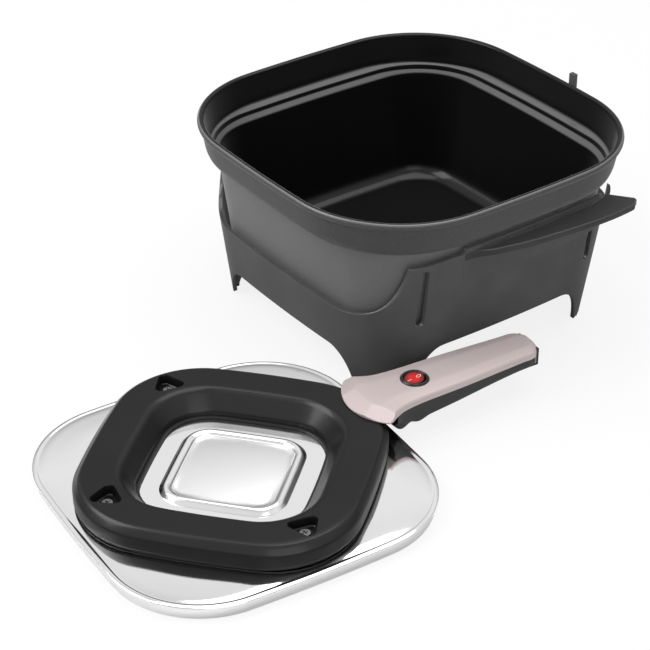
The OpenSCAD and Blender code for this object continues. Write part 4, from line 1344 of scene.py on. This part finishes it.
class SKILLET_OT_switch(bpy.types.Operator):
    """Builds the round rocker switch: bezel and lit lens"""

    bl_idname = "skillet.switch"
    bl_label = "Switch"

    def execute(self, context):
        bezel_r = half_width("switch_bezel")
        seat = SWITCH_SEAT
        mouth = LENS + 0.8 * MM
        profile = eased([
            (mouth, seat, 0), (bezel_r, seat, 0.1 * MM), (bezel_r, seat + 1 * MM, 0.6 * MM),
            (bezel_r - 1.4 * MM, seat + 2.3 * MM, 0.9 * MM),
            (mouth + 0.9 * MM, seat + 2.2 * MM, 0.7 * MM), (mouth, seat + 1.3 * MM, 0.4 * MM)],
            5, closed=True)
        bezel = as_object("switch_bezel_ring", [lathe(profile, closed=True)], smooth=40)
        settle(bezel, AT_LID @ AT_SWITCH, "lid",
               moulded("bezel plastic", tuple(colours().bezel), 0.25, grain=3000, depth=0.004 * MM),
               ["switch_bezel"])

        pivot = INTO_LID @ Vector(ROCKER["pos_m"])
        tilt = math.radians(max(abs(a) for a in ROCKER["range_deg"]) / 2)
        high = 4.4 * MM
        dish = 55 * MM
        lens = [(0.01 * MM, -2 * MM), (LENS - 0.5 * MM, -2 * MM), (LENS, -1.5 * MM),
                (LENS, high - 0.7 * MM), (LENS - 0.25 * MM, high - 0.2 * MM)]
        for k in range(12):
            r = (LENS - 0.7 * MM) * (1 - k / 12) + 0.01 * MM
            lens.append((r, high + dish - 0.6 * MM - math.sqrt(dish * dish - r * r)))
        rocker = as_object("rocker_lens", [lathe(lens), moved(
            lathe([(1.2 * MM, -9.4 * MM), (1.2 * MM, 9.4 * MM)], 32),
            Matrix.Rotation(TAU / 4, 4, "Y"))], smooth=40)
        place = AT_LID @ Matrix.Translation(pivot) @ Matrix.Rotation(tilt, 4, "X")
        settle(rocker, place, "rocker",
               lit_lens("rocker lens", tuple(colours().lens), tuple(colours().glow), LENS),
               ["switch_rocker"])
        return {"FINISHED"}


# ---- Small fittings carried over from the frame ----


class SKILLET_OT_fittings(bpy.types.Operator):
    """Gives the screws, pads, heater, inlet and wiring their finishes"""

    bl_idname = "skillet.fittings"
    bl_label = "Fittings"

    def execute(self, context):
        c = colours()
        screw = plated("plated steel", tuple(c.screw), 0.22)
        rubber = moulded("black silicone", tuple(c.rubber), 0.65, grain=900, depth=0.04 * MM)
        black = moulded("black fittings", tuple(c.bezel), 0.4)
        post = moulded("post plastic", tuple(c.grip), 0.45)
        brass = plated("brass", tuple(c.brass), 0.25)
        dark = plated("blackened steel", tone(c.screw, 0.35), 0.35)
        finishes = {
            "grip_screws": screw, "post_screw": screw, "ring_screws": dark,
            "handle_screws": screw, "handle_bracket": screw, "element_clips": screw,
            "pan_rest_pads": rubber, "foot_pads": rubber, "lid_rest_post": post,
            "reflector": plated("bright sheet", tuple(c.reflector), 0.18),
            "heating_element": plated("heater sheath", tuple(c.heater), 0.45),
            "element_terminals": ceramic("white ceramic", tuple(c.ceramic)),
            "thermal_cutout": brass, "inlet_pins": brass,
            "ring_base": moulded("ring base", tuple(c.ring), 0.5),
            "switch_body": black, "inlet_socket": black,
            "switch_lamp": moulded("lamp", tuple(c.lamp), 0.3),
            "inner_leads": moulded("silicone sleeve", tuple(c.lead), 0.6),
        }
        for node, material in finishes.items():
            for slot in frame["nodes"][node].material_slots:
                slot.link = "OBJECT"
                slot.material = material
        return {"FINISHED"}


# ---- Stage ----


CAMERA_AT = Vector((1.1437, -0.9221, 0.9075))       # from the middle of the stand
CAMERA_AIM = Vector((-0.0406, -0.0555, -0.0331))
CAMERA_LENS = 110.8
LAMPS = (   # name, place, aim, size in metres, power in watts
    ("key", (-0.9, -1.5, 1.9), (0, 0, 0.05), 1.6, 34),
    ("fill", (1.9, -0.6, 1.1), (0, 0, 0.05), 1.4, 7),
    ("top", (-0.1, 0.5, 2.3), (0, 0, 0), 2.0, 30))
TENT = ((0.0, 1.0), (0.03, 0.12), (0.2, 0.25), (0.38, 0.55), (0.6, 0.9), (0.9, 0.66), (1.0, 0.62))
ROOM_GREY, ROOM_STRENGTH = 0.9, 0.45
FLOOR_HALF = 6


def aimed(scene, name, data, place, aim):
    """Puts a lamp or camera at a place, looking at a point."""
    holder = bpy.data.objects.new(name, data)
    holder.location = place
    holder.rotation_euler = (aim - place).to_track_quat("-Z", "Y").to_euler()
    scene.collection.objects.link(holder)
    return holder


class SKILLET_OT_stage(bpy.types.Operator):
    """Sets up the pale floor, the soft lights and the camera"""

    bl_idname = "skillet.stage"
    bl_label = "Stage"

    def execute(self, context):
        scene = context.scene
        self.floor()
        self.world(scene)
        for name, place, aim, size, power in LAMPS:
            lamp = bpy.data.lights.new(name, "AREA")
            lamp.shape = "SQUARE"
            lamp.size = size
            lamp.energy = power
            aimed(scene, name, lamp, Vector(place), Vector(aim))
        camera = bpy.data.cameras.new("camera")
        camera.lens = CAMERA_LENS
        camera.sensor_width = 36
        scene.camera = aimed(scene, "camera", camera, STAND_AT + CAMERA_AT, STAND_AT + CAMERA_AIM)
        scene.view_settings.view_transform = "Standard"
        return {"FINISHED"}

    def floor(self):
        """Pale floor that looks white but keeps the shadows."""
        a = FLOOR_HALF
        obj = as_object("floor", [([(-a, -a, 0), (a, -a, 0), (a, a, 0), (-a, a, 0)],
                                   [(0, 1, 2, 3)])])
        f = Finish("floor")
        grain = f.noise(300, 2)
        f.set(Base_Color=f.mix(grain, tone(colours().floor, 0.99), tuple(colours().floor)),
              Roughness=0.9 + 0.05 * grain, Specular_IOR_Level=0.1)
        seen = f.add("ShaderNodeLightPath", out="Is Camera Ray")
        white = f.add("ShaderNodeEmission", None, {"Color": (1, 1, 1), "Strength": 1.0})
        blend = f.add("ShaderNodeMixShader", None,
                      {0: seen * 0.85, 1: Wire(f, f.shader.outputs[0]), 2: white})
        f.feed(f.tree.nodes["Material Output"].inputs[0], blend)
        obj.data.materials.append(f.material)

    def world(self, scene):
        """Grey room light, a tent of soft light in mirrors, and white where nothing stands."""
        scene.world = bpy.data.worlds.new("studio")
        n = Nodes(scene.world)
        height = n.axes(n.add("ShaderNodeTexCoord", out="Generated"))[2]
        tent = n.add("ShaderNodeValToRGB", {"stops": [(at, (grey,) * 3) for at, grey in TENT]},
                     {0: height})
        room = n.tree.nodes["Background"]
        n.feed(room.inputs[0], (ROOM_GREY,) * 3)
        n.feed(room.inputs[1], ROOM_STRENGTH)
        shown = Wire(n, room.outputs[0])
        for ray, colour_seen in (("Is Glossy Ray", tent), ("Is Camera Ray", (1, 1, 1))):
            light = n.add("ShaderNodeBackground", None, {0: colour_seen, 1: 1.0})
            shown = n.add("ShaderNodeMixShader", None,
                          {0: n.add("ShaderNodeLightPath", out=ray), 1: shown, 2: light})
        n.feed(n.tree.nodes["World Output"].inputs[0], shown)


OPERATORS = (SKILLET_OT_stand, SKILLET_OT_grips, SKILLET_OT_pan, SKILLET_OT_lid_plate,
             SKILLET_OT_ring, SKILLET_OT_handle, SKILLET_OT_switch, SKILLET_OT_fittings,
             SKILLET_OT_stage)


class SKILLET_PT_panel(bpy.types.Panel):
    """Lists the pieces of the skillet, its sizes and its colours"""

    bl_label = "Electric Skillet"
    bl_idname = "SKILLET_PT_panel"
    bl_space_type = "VIEW_3D"
    bl_region_type = "UI"
    bl_category = "Skillet"

    def draw(self, context):
        for operator in OPERATORS:
            self.layout.operator(operator.bl_idname)
        for group in (sizes(), colours()):
            box = self.layout.box()
            for name in type(group).__annotations__:
                box.prop(group, name)


CLASSES = (SkilletSizes, SkilletColours, *OPERATORS, SKILLET_PT_panel)


def register():
    for cls in CLASSES:
        bpy.utils.register_class(cls)
    bpy.types.Scene.skillet_sizes = PointerProperty(type=SkilletSizes)
    bpy.types.Scene.skillet_colours = PointerProperty(type=SkilletColours)


def unregister():
    del bpy.types.Scene.skillet_colours
    del bpy.types.Scene.skillet_sizes
    for cls in reversed(CLASSES):
        bpy.utils.unregister_class(cls)


def main():
    register()
    for operator in OPERATORS:
        name = operator.bl_idname.split(".")[1]
        if getattr(bpy.ops.skillet, name)() != {"FINISHED"}:
            raise RuntimeError(f"{operator.bl_label} did not finish")
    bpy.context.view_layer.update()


if __name__ == "__main__":
    main()
